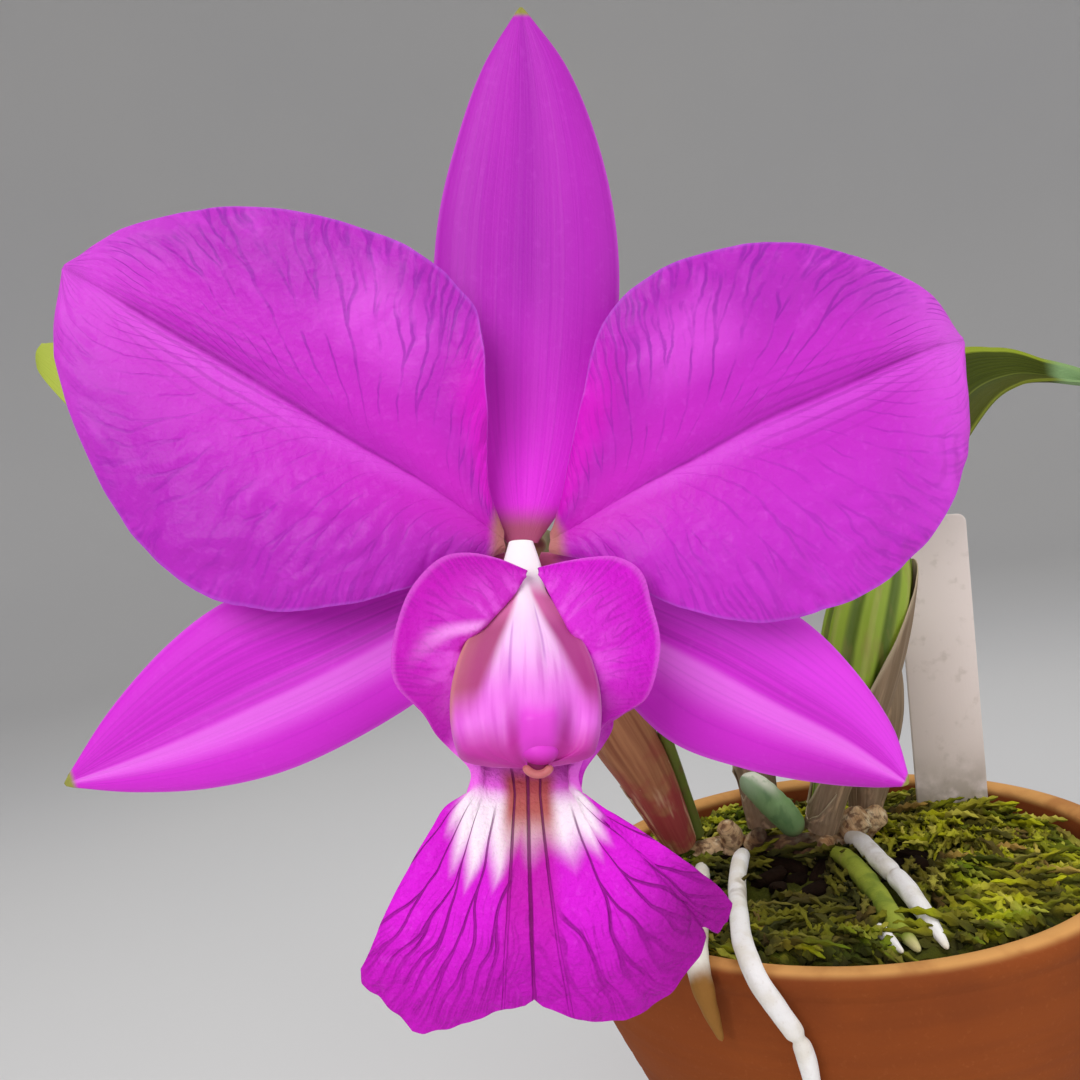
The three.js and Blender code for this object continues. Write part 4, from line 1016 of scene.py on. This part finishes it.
def vein_number(u, v):
    """Which vein passes a place: a vein s leaves the midrib at u = 0.45 s and meets the margin at
    u = 0.2 + 0.8 s, moving outwards with r = |v|^0.45; so s is (u - 0.2 r) / (0.45 + 0.35 r)."""
    root = np.abs(v) ** 0.45
    return (u - 0.2 * root) / (0.45 + 0.35 * root)


petal_skin = flower_finish("petal", 0.45, 0.2)
number, across, along = petal_skin.course()
reach = abs(across)
wander = (petal_skin.grain(8, detail=3) - 0.5) * 1.3
line = number * PETAL_VEINS + wander
fan = veins(petal_skin, line, reach, (0.45, 0.75), 0.09)
fan = fan * petal_skin.grain(5, detail=3).rise(0.36, 0.6)
fine_line = number * PETAL_HAIRS + wander * 2.2
hairs = veins(petal_skin, fine_line, reach, (0.6, 0.85), 0.14)
hairs = hairs * petal_skin.grain(3, detail=3).rise(0.45, 0.65) * reach.rise(0.4, 0.8)
lower = across.rise(-0.1, 0.1)
upper_weight = 1 - lower * 0.5
petal_skin.ground(petal_skin.grain(16, detail=3), (188, 34, 190), (206, 44, 206))
on_right = right_half(petal_skin)
crinkled = petal_skin.point(number * 0.05, across * 0.006, along * 0.02)
# pale: in the colour, painted highlights on the crinkles; in the relief, the crinkles themselves.
pale = petal_skin.grain(2.2, place=crinkled)
# A painted highlight beside the fold.
fold_highlight = abs(across + 0.6).rise(0.3, 0.06) * abs(along - 0.46).rise(0.13, 0.03) * 0.45
folded = across.rise(-0.44, -0.84) * along.rise(0.4, 0.24) * along.rise(0.02, 0.1) * 0.95
plain = 1 - folded * 0.7
ribbed = along.rise(0.1, 0.34) * along.rise(0.98, 0.7)
# above: painted shade on the upper side of the midrib's channel; below: a painted highlight under it.
above = across.rise(-0.2, -0.01) * across.rise(0.02, 0) * ribbed * 0.4
below = across.rise(0.006, 0.05) * across.rise(0.2, 0.06) * ribbed * 0.35
ribs = ((reach + petal_skin.grain(9) * 0.03) * PETAL_RIBS).by("COSINE")
ribs = ribs.rise(0.3, 0.95) * reach.rise(0.3, 0.1) * ribbed * along.rise(0.4, 0.6) * 0.35
midline = reach.rise(0.03, 0.004) * ribbed * 0.4
strength = (reach + along * 0.8).rise(0.3, 0.75, 0.5)
petal_skin.paint(
    (along.rise(0.62, 0.06, 0.7), (206, 30, 192)),
    (reach.rise(0.2, 0.75, 0.6) * along.rise(0.98, 0.8), (166, 34, 176)),
    # Paler towards the tips, and painted light makes the right petal's tip paler still.
    (along.rise(0.7, 1) * (0.45 + on_right * 0.5), (226, 98, 232)),
    # Painted light on the lower half of the right petal.
    (on_right * across.rise(0.1, 0.6) * 0.35, (216, 50, 218)),
    (pale.rise(0.52, 0.74, 0.3) * reach.rise(0.15, 0.6) * upper_weight, (220, 76, 224)),
    # Painted glints: fine pale specks.
    (petal_skin.grain(0.9, detail=5).rise(0.54, 0.74, 0.12), (230, 96, 236)),
    (fold_highlight, (240, 92, 240)),
    (folded, (214, 14, 198)),
    (above, (158, 18, 160)),
    (below, (232, 96, 236)),
    (ribs, (140, 16, 148)),
    (midline, (138, 12, 142)),
    (fan * strength * upper_weight * plain, (122, 18, 152)),
    (hairs * upper_weight * plain * 0.3, (126, 22, 156)),
    (reach.rise(0.975, 0.995, 0.35), (178, 90, 214)),
    (along.rise(0.08, 0.02, 0.9), (192, 130, 108)))
tissue = petal_skin.grain(0.9, detail=5) * 1.2 - fan * 0.2
petal_skin.relief(tissue + pale * 0.6, 0.12)

u, v = grid(168, 119)
v = np.sign(v) * np.abs(v) ** 1.25
number = vein_number(u, v)
away = np.abs(v)
for name, stations, seed in (("petal_left", PETAL_LEFT, 81), ("petal_right", PETAL_RIGHT, 82)):
    ragged = v * (1 + 0.006 * v**6 * unevenness(14 * u, 2 * np.sign(v), 1.4, seed))
    middle = tepal_middle(stations, u, ragged, **PETAL_RELIEF)
    x, y = middle[..., 0], middle[..., 1]
    wide = np.sin(math.pi * u) ** 0.6
    lower = np.where(v > 0, 1.0, 0.55)
    swell = np.sin(TURN * (6 * number + 0.8 * unevenness(x, y, 17, seed + 2)))
    crimp = np.sin(TURN * (15 * number + 1.2 * unevenness(x, y, 13, seed + 3)))
    crimped = within(0.5 + 1.2 * unevenness(x, y, 8, seed + 5)) * within(5 * (away - 0.3))
    lift = 0.28 * swell * away**1.3 + 0.16 * crimp * crimped
    lift = lift + 0.22 * unevenness(x, y, 7, seed + 4) * away
    middle[..., 2] += wide * lower * lift + wide * 0.04 * unevenness(x, y, 2.4, seed + 6)
    middle[..., 2] -= 0.36 * np.sin(math.pi * u) * bell(v, 0.075)
    rings = blade(in_bloom(middle), PETAL_THICKNESS * (1 - 0.55 * away**5) * (1 - 0.3 * u**5))
    piece(f"{name}_blade", rings, petal_skin, [name], both_faces(number, v, u))

# ---- Column ----
# The fused heart of the flower: a waxy bell, white where it leaves the sepals and pink below, with a
# raised keel down its front and hollow flanks. The anther cap bulges near its tip, over a small beak.
COLUMN_GRID = (100, 112)
COLUMN_LINE = [[0.1, 0.1, 0.6], [1, -22, 16.2]]
COLUMN_HALF_WIDTHS = [1.4, 2.2, 2.7, 4.7, 6.5, 7.4, 7.7, 7.4, 6.2]
COLUMN_FRONT = [0.8, 1.2, 1.7, 2.2, 2.9, 3.7, 4.3, 4, 2.4]
COLUMN_BACK = [1, 1.2, 1.3, 1.4, 1.5, 1.6, 1.7, 1.6, 1]
COLUMN_HOLLOW = [0, 0.15, 0.45, 0.62, 0.62, 0.45, 0.15, 0, 0]
KEEL_SHARE = 0.5
CREASES = (0.29, -0.2)
NOSE_SIDE = 0.17
NOSE_WIDTH = 0.32
NOSE_HEIGHT = 2.0


def column_reach(u, angle):
    """A bell: as wide as its half-widths; its front rises as the square root of the sine, less the
    hollow share of 1 - exp(-(cosine / keel share)^2), and its back is round. Two creases run down the
    keel, a rounded nose, shaped exp(-side^4), rises towards its end between two furrows, shallow
    flutes run to the lower edge, and the end is domed over the last twentieth."""
    dome = within((1 - u) / 0.05)
    closing = np.sqrt(dome * (2 - dome) + 0.004)
    side, up = np.cos(angle), np.sin(angle)
    keel = 1 - through(COLUMN_HOLLOW, u) * (1 - bell(side, KEEL_SHARE))
    rounding = np.sqrt(np.maximum(up, 0))
    front = through(COLUMN_FRONT, u) * keel * rounding
    crease = sum(bell(side - c, 0.045) for c in CREASES)
    front = front - 0.22 * crease * np.sin(math.pi * within(1.5 * u - 0.45))
    low = within((u - 0.66) / 0.24) ** 2
    from_nose = (side - NOSE_SIDE) / NOSE_WIDTH
    nose_end = np.sqrt(1 - within((u - 0.87) / 0.14) ** 2)
    furrows = 0.4 * np.exp(-((np.abs(from_nose) - 1.5) ** 2) / 0.2)
    front = front + low * NOSE_HEIGHT * (nose_end * np.exp(-(from_nose**4)) - furrows)
    front = front + 0.1 * low * np.cos(7 * math.pi * side) * (np.abs(side) > 0.4)
    wings = 0.4 * bell(np.abs(side) - 0.96, 0.05) * within(3 * u - 0.6)
    depth = np.where(up > 0, front + wings * rounding, through(COLUMN_BACK, u) * up)
    return through(COLUMN_HALF_WIDTHS, u) * closing * side, depth * closing


wax = flower_finish("column", 0.45)
along, across, up = wax.course()
beside = abs(across)
wax.ground(along.rise(0.14, 0.5), (252, 246, 246), (250, 206, 248))
streak = wax.grain(4, place=wax.point(across * 0.04, along * 0.01))
# The flanks: the column's own tan and maroon, with painted shade in their hollows; towards the top they
# are painted lighter, as painted light.
flank_start = along * 0.83 + 0.04
from_keel = abs(across - 0.08)
flank = (from_keel - flank_start).rise(-0.13, 0.1) * along.rise(0.88, 0.7) * along.rise(0.19, 0.3)
flank_colour = wax.blend(across.rise(-0.2, 0.2), (170, 66, 116), (168, 52, 126))
outer_left = beside.rise(0.62, 0.95) * across.rise(0.8, -0.8) * 0.6
flank_colour = wax.blend(outer_left, flank_colour, (186, 108, 112))
flank_colour = wax.blend(along.rise(0.46, 0.3, 0.8), flank_colour, (232, 122, 184))
# edge_shown: where painted highlights run along the bell's side edges.
edge_shown = along.rise(0.35, 0.5) * along.rise(0.95, 0.75)
beside_nose = abs(abs(across - NOSE_SIDE) - 0.36).rise(0.14, 0)
on_nose = abs(across - NOSE_SIDE).rise(0.36, 0.2) * along.rise(0.8, 0.9) * 0.8
wax.paint(
    (along.rise(0.46, 0.82), (232, 118, 226)),
    (beside.rise(0.3, 0.9, 0.5) * along.rise(0.3, 0.6), (226, 92, 218)),
    (streak.rise(0.42, 0.66, 0.36) * along.rise(0.36, 0.7), (206, 66, 198)),
    (flank * 0.95, flank_colour),
    (across.rise(-0.9, -0.99) * edge_shown * 0.7, (222, 150, 136)),
    (across.rise(0.93, 0.99) * edge_shown * 0.5, (236, 150, 214)),
    # Painted shade in the furrows beside the nose; the deeper magenta at the end is its own colour and
    # painted shade where it turns under.
    (beside_nose * along.rise(0.76, 0.92) * 0.65, (178, 26, 150)),
    (along.rise(0.86, 0.985, 0.9), (184, 34, 146)),
    (on_nose, (226, 62, 214)))
# The crease lines are painted shade in the creases.
for crease, first, last in zip(CREASES, (0.3, 0.38), (0.66, 0.76)):
    line = abs(across - crease).rise(0.035, 0.005)
    drawn = line * along.rise(first, first + 0.1) * along.rise(last, last - 0.1) * 0.4
    wax.paint((drawn, (164, 52, 184)))
wax.paint((up.rise(0.1, -0.2, 0.6), (214, 90, 206)))
wax.relief(wax.grain(1.2, detail=4), 0.05)
rings = in_bloom(stem(COLUMN_LINE, *COLUMN_GRID, column_reach))
piece("column_bell", rings, wax, ["column"], stem_course(*COLUMN_GRID))

ANTHER_RADII = [1.9, 1.6, 1.7]
ball = turned([[math.sin(a), -math.cos(a)] for a in np.linspace(0.03, math.pi - 0.03, 40)], 48)
cap_skin = flower_finish("anther cap", 0.5)
downwards = cap_skin.course()[1]
cap_skin.ground(downwards.rise(0.3, -0.7), (222, 58, 208), (180, 24, 148))
cap_skin.paint((cap_skin.grain(2).rise(0.4, 0.7, 0.3), (214, 60, 200)))
cap_skin.relief(cap_skin.grain(0.8), 0.05)
ANTHER_CENTRE = [2.2, -20, 17.1]
cap = ball * ANTHER_RADII + ANTHER_CENTRE
piece("anther_cap_skin", in_bloom(cap), cap_skin, ["anther_cap"], ball)

# The beak under the cap: a small salmon cup, open upwards, round the hollow for the pollen. The hollow's
# darkness is painted shade on a squashed ball set inside the cup.
beak_skin = flower_finish("beak", 0.45)
beak_skin.ground(beak_skin.grain(1.5), (206, 128, 122), (182, 88, 100))
beak_skin.relief(beak_skin.grain(0.6), 0.03)
BEAK_CENTRE = [2.05, -21.4, 17.8]
BEAK_RADII = (1.3, 1.15)
BEAK_WALL = 0.44
bend = np.linspace(math.radians(195), math.radians(345), 30)[:, None]
around = angles(16)
close = np.sqrt(np.clip(1 - np.linspace(-1, 1, 30)[:, None] ** 8, 0.02, 1))
rim = BEAK_WALL * close * np.cos(around)
cup = together((BEAK_RADII[0] + rim) * np.cos(bend), (BEAK_RADII[1] + rim) * np.sin(bend) + 0.3,
               BEAK_WALL * 1.3 * close * np.sin(around))
piece("column_beak", in_bloom(cup + BEAK_CENTRE), beak_skin, ["column"])
# Painted shade: a dark ball stands for the shade in the hollow.
hollow_skin = flower_finish("pollen hollow", 0.5)
hollow_skin.ground(hollow_skin.grain(1), (96, 8, 62), (128, 16, 84))
hollow_skin.relief(hollow_skin.grain(0.5), 0.05)
hollow = ball * [1.05, 0.95, 0.5] + BEAK_CENTRE + [0, 0.15, -0.25]
piece("pollen_hollow", in_bloom(hollow), hollow_skin, ["column"])

# ---- Lip ----
# The flower's third petal, grown into one sheet with three lobes: two ears that wrap the column and
# flare, and past a narrow waist the broad front lobe, dark-veined round a white and tan throat.
LEFT_MARGIN = [[0.9, -2.8, 5.9], [-2.4, -1.5, 5.3], [-5.8, -0.9, 5], [-8.8, -1.6, 5],
               [-11.6, -4.5, 5.1], [-13, -7.8, 5.7], [-13.7, -11.8, 7], [-13, -14.9, 8.4],
               [-10, -17.6, 10], [-8.5, -19.6, 11.1], [-7, -21, 11.8], [-4.9, -23.1, 12.4],
               [-5.3, -25.5, 12.6]]
LEFT_CREST = [[0.2, -3.3, 6], [-0.5, -4.8, 6.7], [-1.7, -6.1, 7.2], [-2.9, -7.2, 7.7],
              [-4.2, -8.5, 8.3], [-6.3, -10, 8.5], [-6.7, -12, 8.6], [-6.9, -14, 9.4],
              [-7, -16.2, 10.5], [-6.8, -18.3, 11.3], [-5.9, -20.6, 11.9], [-4, -22.6, 12.3],
              [-4.2, -24.9, 12.5]]
RIGHT_MARGIN = [[2, -2.5, 5.9], [4.7, -1.9, 5.3], [7.8, -1.4, 5], [10.8, -1.4, 5], [13.3, -3, 5.1],
                [14.3, -6.3, 5.7], [15.1, -9.9, 7], [14.7, -13, 8.4], [13.4, -16, 10],
                [10.8, -17.5, 11.1], [8.6, -18.8, 11.8], [6.3, -23, 12.4], [6.6, -25.3, 12.6]]
RIGHT_CREST = [[2.5, -3.1, 6], [3.3, -4.7, 6.7], [4.1, -6.1, 7.2], [5, -7.5, 7.7], [5.8, -8.8, 8.2],
               [7.4, -10.3, 8.5], [7.9, -12.2, 8.6], [8.2, -14.2, 9.4], [8.4, -16.2, 10.5],
               [8.3, -18, 11.3], [7.8, -19.6, 11.9], [5.6, -22.4, 12.3], [5.5, -24.8, 12.5]]
TROUGH = [[0.6, -2.4, -0.6], [1.2, -13.6, 4.8], [1.5, -25.8, 11.6]]
TROUGH_HALF_WIDTHS = [4, 4.8, 5.6, 6.5, 7.3, 7.5, 7.4, 7.4, 7.6, 7.9, 6.8, 5, 4.4]
LEFT_EDGE = [[-5.3, -25.5, 12.6], [-7.4, -26.6, 12.9], [-8.7, -28.5, 13], [-9.9, -30.4, 13.1],
             [-11, -32.5, 13.2], [-12.2, -34.6, 13.3], [-13.3, -36.7, 13.4], [-14.3, -38.9, 13.4],
             [-15.2, -41.1, 13.5], [-16.1, -42.8, 13.5]]
RIGHT_EDGE = [[6.6, -25.3, 12.6], [8.3, -26.4, 12.8], [10.2, -27.5, 12.9], [12, -28.6, 13],
              [13.9, -29.8, 13], [15.7, -31, 13], [17.4, -32.2, 13], [19, -33.5, 12.9],
              [20.6, -34.8, 12.8], [21.9, -36.4, 12.8]]
# The front edge in fine steps: the share v it is at, then X, Y and Z; a notch at 0 and a cleft at 0.88.
FRONT_EDGE = [
    [-1, -15.9, -43, 13.5], [-0.943, -15.7, -44.2, 13.5], [-0.876, -14.6, -45.1, 13.6],
    [-0.799, -13.4, -46.2, 13.6], [-0.722, -12.2, -47.3, 13.7], [-0.612, -10.6, -49.1, 13.8],
    [-0.558, -9.5, -49.3, 13.9], [-0.429, -6.9, -48.4, 14.3], [-0.328, -4.7, -47.7, 14.6],
    [-0.256, -3.3, -47, 14.8], [-0.145, -1.1, -46.2, 14.9], [-0.06, 0.7, -46.1, 14.7],
    [0, 1.7, -45.4, 14.6], [0.039, 2.6, -46.1, 14.7], [0.127, 5, -47, 14.9], [0.249, 8.5, -47.7, 14.8],
    [0.324, 10.7, -47.6, 14.6], [0.405, 13, -46.8, 14.3], [0.499, 15.2, -45.2, 14],
    [0.594, 17, -43.1, 13.8], [0.677, 18.4, -41.2, 13.6], [0.732, 19, -39.7, 13.4],
    [0.76, 18.7, -39.1, 13.3], [0.787, 18, -38.7, 13.2], [0.825, 19.1, -38.9, 13],
    [0.875, 20.4, -39.7, 12.9], [0.931, 21.5, -38.4, 12.9], [1, 21.8, -36.4, 12.8]]
WAIST = 2 / 3
LIP_THICKNESS = 0.7
EAR_VEINS = 30


def lip_section(t, v):
    """Cross-sections of the wrapped part: a smooth line from margin over crest and wall to the trough
    and up the other side; a wall point lies 0.42 of the way from trough to crest, at the trough's
    half-width."""
    left_margin, left_crest, right_crest, right_margin = (
        through(guide, t) for guide in (LEFT_MARGIN, LEFT_CREST, RIGHT_CREST, RIGHT_MARGIN))
    centre = through(TROUGH, t)
    half_width = through(TROUGH_HALF_WIDTHS, t)
    walls = []
    for crest, side in ((left_crest, -1), (right_crest, 1)):
        wall = centre + (crest - centre) * 0.42
        wall[:, 0] = centre[:, 0] + side * half_width
        walls.append(wall)
    knots = np.array([left_margin, left_crest, walls[0], centre, walls[1], right_crest, right_margin])
    return through(knots, (v + 1) / 2).swapaxes(0, 1)


def lip_middle(u, v):
    """The whole lip: sections down to the waist, then the front lobe, which spreads from the waist's
    section to the front edge, bows out to the side edges with v^2, arches forwards by sin(pi down) and
    ruffles towards its edge."""
    wrapped = lip_section(within(u / WAIST), v)
    down = within((u - WAIST) / (1 - WAIST))
    share, *front = np.array(FRONT_EDGE).T
    front = np.stack([np.interp(v, share, f) for f in front], -1)
    spread = wrapped + (front[None] - wrapped) * down[:, None, None]
    for edge, side in ((LEFT_EDGE, v < 0), (RIGHT_EDGE, v > 0)):
        bow = through(edge, down) - (np.outer(1 - down, edge[0]) + np.outer(down, edge[-1]))
        spread += bow[:, None] * (v**2 * side)[:, None]
    away, down = np.abs(v), down[:, None]
    arch = 2.4 * np.sin(math.pi * down) * (1 - 0.7 * away**2)
    spread[..., 2] += arch + 0.5 * down * np.sin(4 * math.pi * v) * away
    return spread


VEIN_DRIFT = 0.42
VEIN_COUNT = 5.2
VEIN_START = 0.25

lip_skin = flower_finish("lip", 0.6, 0.14)
across, along, facing = lip_skin.course()
beside = abs(across)
spread = lip_skin.value("MapRange", {"Value": along, "From Min": WAIST, "From Max": 1})
on_lobe = along.rise(0.645, 0.69)
cloud = lip_skin.grain(7, detail=1) - 0.5
# Side veins follow |v| - 0.42 down sqrt|v|, so they bend outwards on their way to the edge.
outwards = spread * beside.by("SQRT") * VEIN_DRIFT
lobe_number = (beside - outwards - VEIN_START) * VEIN_COUNT
by_side = lobe_number + (across.rise(-0.001, 0.001, 7) + 0.5)
lobe_line = by_side + cloud * spread.rise(0, 0.4, 0.6)
side_veins = veins(lip_skin, lobe_line, spread, (0.34, 0.6), 0.058)
side_veins = side_veins * beside.rise(0.1, 0.16) * spread.rise(0.02, 0.14) * spread.rise(1.15, 0.45)
between = abs(lobe_line.by("FRACT") - 0.5)
centre_veins = 0
for start, drift, width in ((-0.13, -0.03, 0.011), (-0.035, 0.035, 0.017), (0.055, 0.09, 0.011)):
    middle_of = spread * drift + start
    off = abs(across - middle_of)
    centre_veins = off.rise(width, width * 0.3).by("MAXIMUM", centre_veins)
centre_veins = centre_veins * along.rise(0.58, 0.63)
net_line = by_side * 5.0 + cloud * 4.0
net = veins(lip_skin, net_line, spread, (0.5, 0.8), 0.14)
net = net * spread.rise(0.25, 0.6) * lip_skin.grain(2.4, detail=3).rise(0.4, 0.62)
ear_line = along * EAR_VEINS + lip_skin.grain(6, detail=1) * 1.6
ear_veins = veins(lip_skin, ear_line, beside.rise(0.6, 1), (0.4, 0.75), 0.12)
ear_veins = ear_veins * beside.rise(0.68, 0.8) * along.rise(0.62, 0.5)
ear_veins = ear_veins * lip_skin.grain(3, detail=2).rise(0.35, 0.6)

lip_skin.ground(lip_skin.grain(9, detail=3), (200, 12, 194), (222, 22, 218))
on_ear = along.rise(0.66, 0.6)
ear_streaks = lip_skin.grain(2.4, place=lip_skin.point(along * 0.06, beside * 0.012))
near_crest = beside.rise(0.95, 0.68) * (ear_streaks.rise(0.4, 0.62, 0.45) + 0.15)
# ear_shade: painted shade, the left ear darker than the right.
ear_shade = lip_skin.blend(across.rise(-0.1, 0.1), (184, 18, 168), (208, 22, 202))
# A painted highlight along the fold across each ear: along = 0.23 + 0.45 (|across| - 0.667), faint on
# the right one.
ridge_course = 0.23 + (beside - 0.667) * 0.45
off_ridge = abs(along - ridge_course)
ridge = off_ridge.rise(0.042, 0) * beside.rise(0.62, 0.68) * beside.rise(0.95, 0.67)
ridge = ridge * across.rise(0.1, -0.1, 0.7)
shadow = along.rise(0.34, 0.48) * along.rise(0.6, 0.54) * 0.6
# Painted light: the waist, shaded by the column, is painted lighter.
waist_painted_light = along.rise(0.52, 0.58) * spread.rise(0.1, 0) * facing.rise(-0.2, 0.2) * 0.75
fading = (spread + abs(across + 0.015).rise(0.03, 0.06, 0.5)).rise(1.3, 0.6)
tongues = between * beside.rise(0.7, 0.3) * across.rise(0.1, -0.1, 0.2)
tongues = tongues + between * 0.14
limit = tongues + (cloud * 0.12 + beside.rise(1, 0.6, 0.19))
beside_tan = abs(across + 0.03)
white_patch = (limit - spread).rise(-0.1, 0.11) * on_lobe * beside.rise(0.98, 0.78)
below_tan = beside_tan.rise(0.2, 0.1) * spread.rise(0.12, 0.26) * spread.rise(0.9, 0.4)
tan_band = beside_tan.rise(0.22, 0.12) * spread.rise(0.3, 0.06) * along.rise(0.58, 0.64)
# throat: the throat's own tan, with painted shade inside the wrapped part.
throat = beside.rise(0.62, 0.5) * along.rise(0.58, 0.5) * facing.rise(-0.2, 0.2)
lip_skin.paint(
    (spread.rise(0.12, 0.5) * spread.rise(0.95, 0.6) * 0.4, (234, 30, 234)),
    # Painted glints: fine pale specks.
    (lip_skin.grain(0.8, detail=4).rise(0.54, 0.74, 0.2), (246, 84, 246)),
    # Painted shade where the front lobe turns away: on its right side and towards its front edge.
    (across.rise(0.1, 0.8) * spread.rise(0.35, 0.9) * 0.9, (142, 10, 130)),
    ((spread - beside * 0.25).rise(0.35, 0.9, 0.5), (162, 14, 152)),
    (on_ear * 0.6, ear_shade),
    (near_crest * on_ear, (238, 100, 234)),
    (ear_veins * 0.3, (140, 16, 144)),
    (beside.rise(0.965, 0.995, 0.5) * on_ear, (226, 104, 222)),
    (ridge + ridge * 0.25, (250, 160, 246)),
    (shadow, (162, 22, 150)),
    (waist_painted_light, (250, 120, 240)),
    (white_patch, (255, 236, 250)),
    (tan_band * 0.95, (176, 76, 66)),
    (below_tan * 0.5, (176, 20, 130)),
    (throat * 0.9, (150, 70, 80)),
    (net * 0.34, (134, 6, 126)),
    (side_veins * 0.7, (118, 2, 110)),
    (centre_veins * fading * 0.85, (104, 2, 84)))
grooves = side_veins.by("MAXIMUM", centre_veins)
grit = lip_skin.grain(0.5, detail=4) + lip_skin.grain(1.4, detail=3) * 0.9
lip_skin.relief(grit - grooves * 0.7, 0.28)

u, v = grid(160, 171)
middle = lip_middle(u[:, 0], v[0])
x, y = middle[..., 0], middle[..., 1]
away = np.abs(v)
lobe = within((u - WAIST) / (1 - WAIST))
middle[..., 2] += 0.2 * lobe * unevenness(x, y, 4.5, 91)
middle[..., 2] += 0.2 * lobe**4 * np.sin(40 * v) + 0.12 * unevenness(x, y, 2.2, 92) * lobe
# Furrows over the side veins, and a rounded fold under the pale ridge of each ear.
furrow = np.cos(TURN * VEIN_COUNT * (away - VEIN_DRIFT * lobe * np.sqrt(away) - VEIN_START))
furrow = furrow * np.sin(math.pi * within(1.1 * lobe))
middle[..., 2] -= 0.12 * furrow * within(6 * away - 1)
fold = bell(u - 0.23 - 0.45 * (away - 0.667), 0.04)
middle[..., 2] += 0.22 * fold * within(8 * (away - 0.6)) * within(6 * (0.97 - away))
rings = blade(in_bloom(middle), LIP_THICKNESS * (1 - 0.5 * away**8) * (1 - 0.4 * u**12))
piece("lip_sheet", rings, lip_skin, ["lip"], both_faces(v, u, 1, flip=True))

# ---- Studio ----
# A round pale cove to stand on, two large soft lamps from the front and one from above, and a camera
# at the height of the flower, a hand's breadth away and rolled a little to the left.
FLOOR_PROFILE = [[0.02, 0], [0.5, 0], [1, 0], [1.3, 0.03], [1.55, 0.16], [1.7, 0.42], [1.75, 0.8],
                 [1.76, 1.6]]
COVE_ROWS = 60
COVE_SIDES = 96
cove_rings = turned(through(FLOOR_PROFILE, np.linspace(0, 1, COVE_ROWS)), COVE_SIDES)
index = np.arange(COVE_ROWS * COVE_SIDES).reshape(COVE_ROWS, COVE_SIDES)
beside = np.roll(index, -1, axis=1)
cove_faces = np.stack([index[:-1], index[1:], beside[1:], beside[:-1]], -1).reshape(-1, 4)
cove = bpy.data.meshes.new("floor")
cove.from_pydata(cove_rings.reshape(-1, 3).tolist(), [], cove_faces.tolist() + [index[0].tolist()])
cove.polygons.foreach_set("use_smooth", np.ones(len(cove.polygons), bool))
paper = Finish("pale floor", 0.9, 0.1)
paper.ground(paper.grain(400, detail=2), (214, 214, 216), (222, 221, 220))
cove.materials.append(paper.material)
floor = placed("floor", cove)

LAMP_TARGET = (-0.02, -0.05, 0.12)
for name, spot, size, power in (("key lamp", (-0.35, -0.75, 0.58), 0.5, 5.0),
                                ("fill lamp", (0.6, -0.7, 0.35), 0.6, 1.8),
                                ("top lamp", (0.1, 0.15, 0.95), 0.5, 3.4)):
    light = bpy.data.lights.new(name, "AREA")
    light.size, light.energy = size, power
    lamp = placed(name, light)
    aim = Vector(spot) - Vector(LAMP_TARGET)
    lamp.matrix_world = Matrix.Translation(spot) @ aim.to_track_quat("Z", "Y").to_matrix().to_4x4()

world = bpy.data.worlds.new("studio")
world.use_nodes = True
backdrop = world.node_tree.nodes["Background"].inputs
backdrop["Color"].default_value = (0.95, 0.94, 0.93, 1)
backdrop["Strength"].default_value = 0.36
bpy.context.scene.world = world
bpy.context.scene.view_settings.view_transform = "Standard"

CAMERA_PLACE = (-53.6, -225.0, 164.9)
camera = placed("camera", bpy.data.cameras.new("camera"))
camera.data.lens = camera.data.sensor_width = 36
camera.data.clip_start = 0.01
look = Matrix.Rotation(BLOOM_PITCH, 4, "X") @ Matrix.Rotation(BLOOM_ROLL, 4, "Z")
camera.matrix_world = Matrix.Translation([c * MM for c in CAMERA_PLACE]) @ look
bpy.context.scene.camera = camera
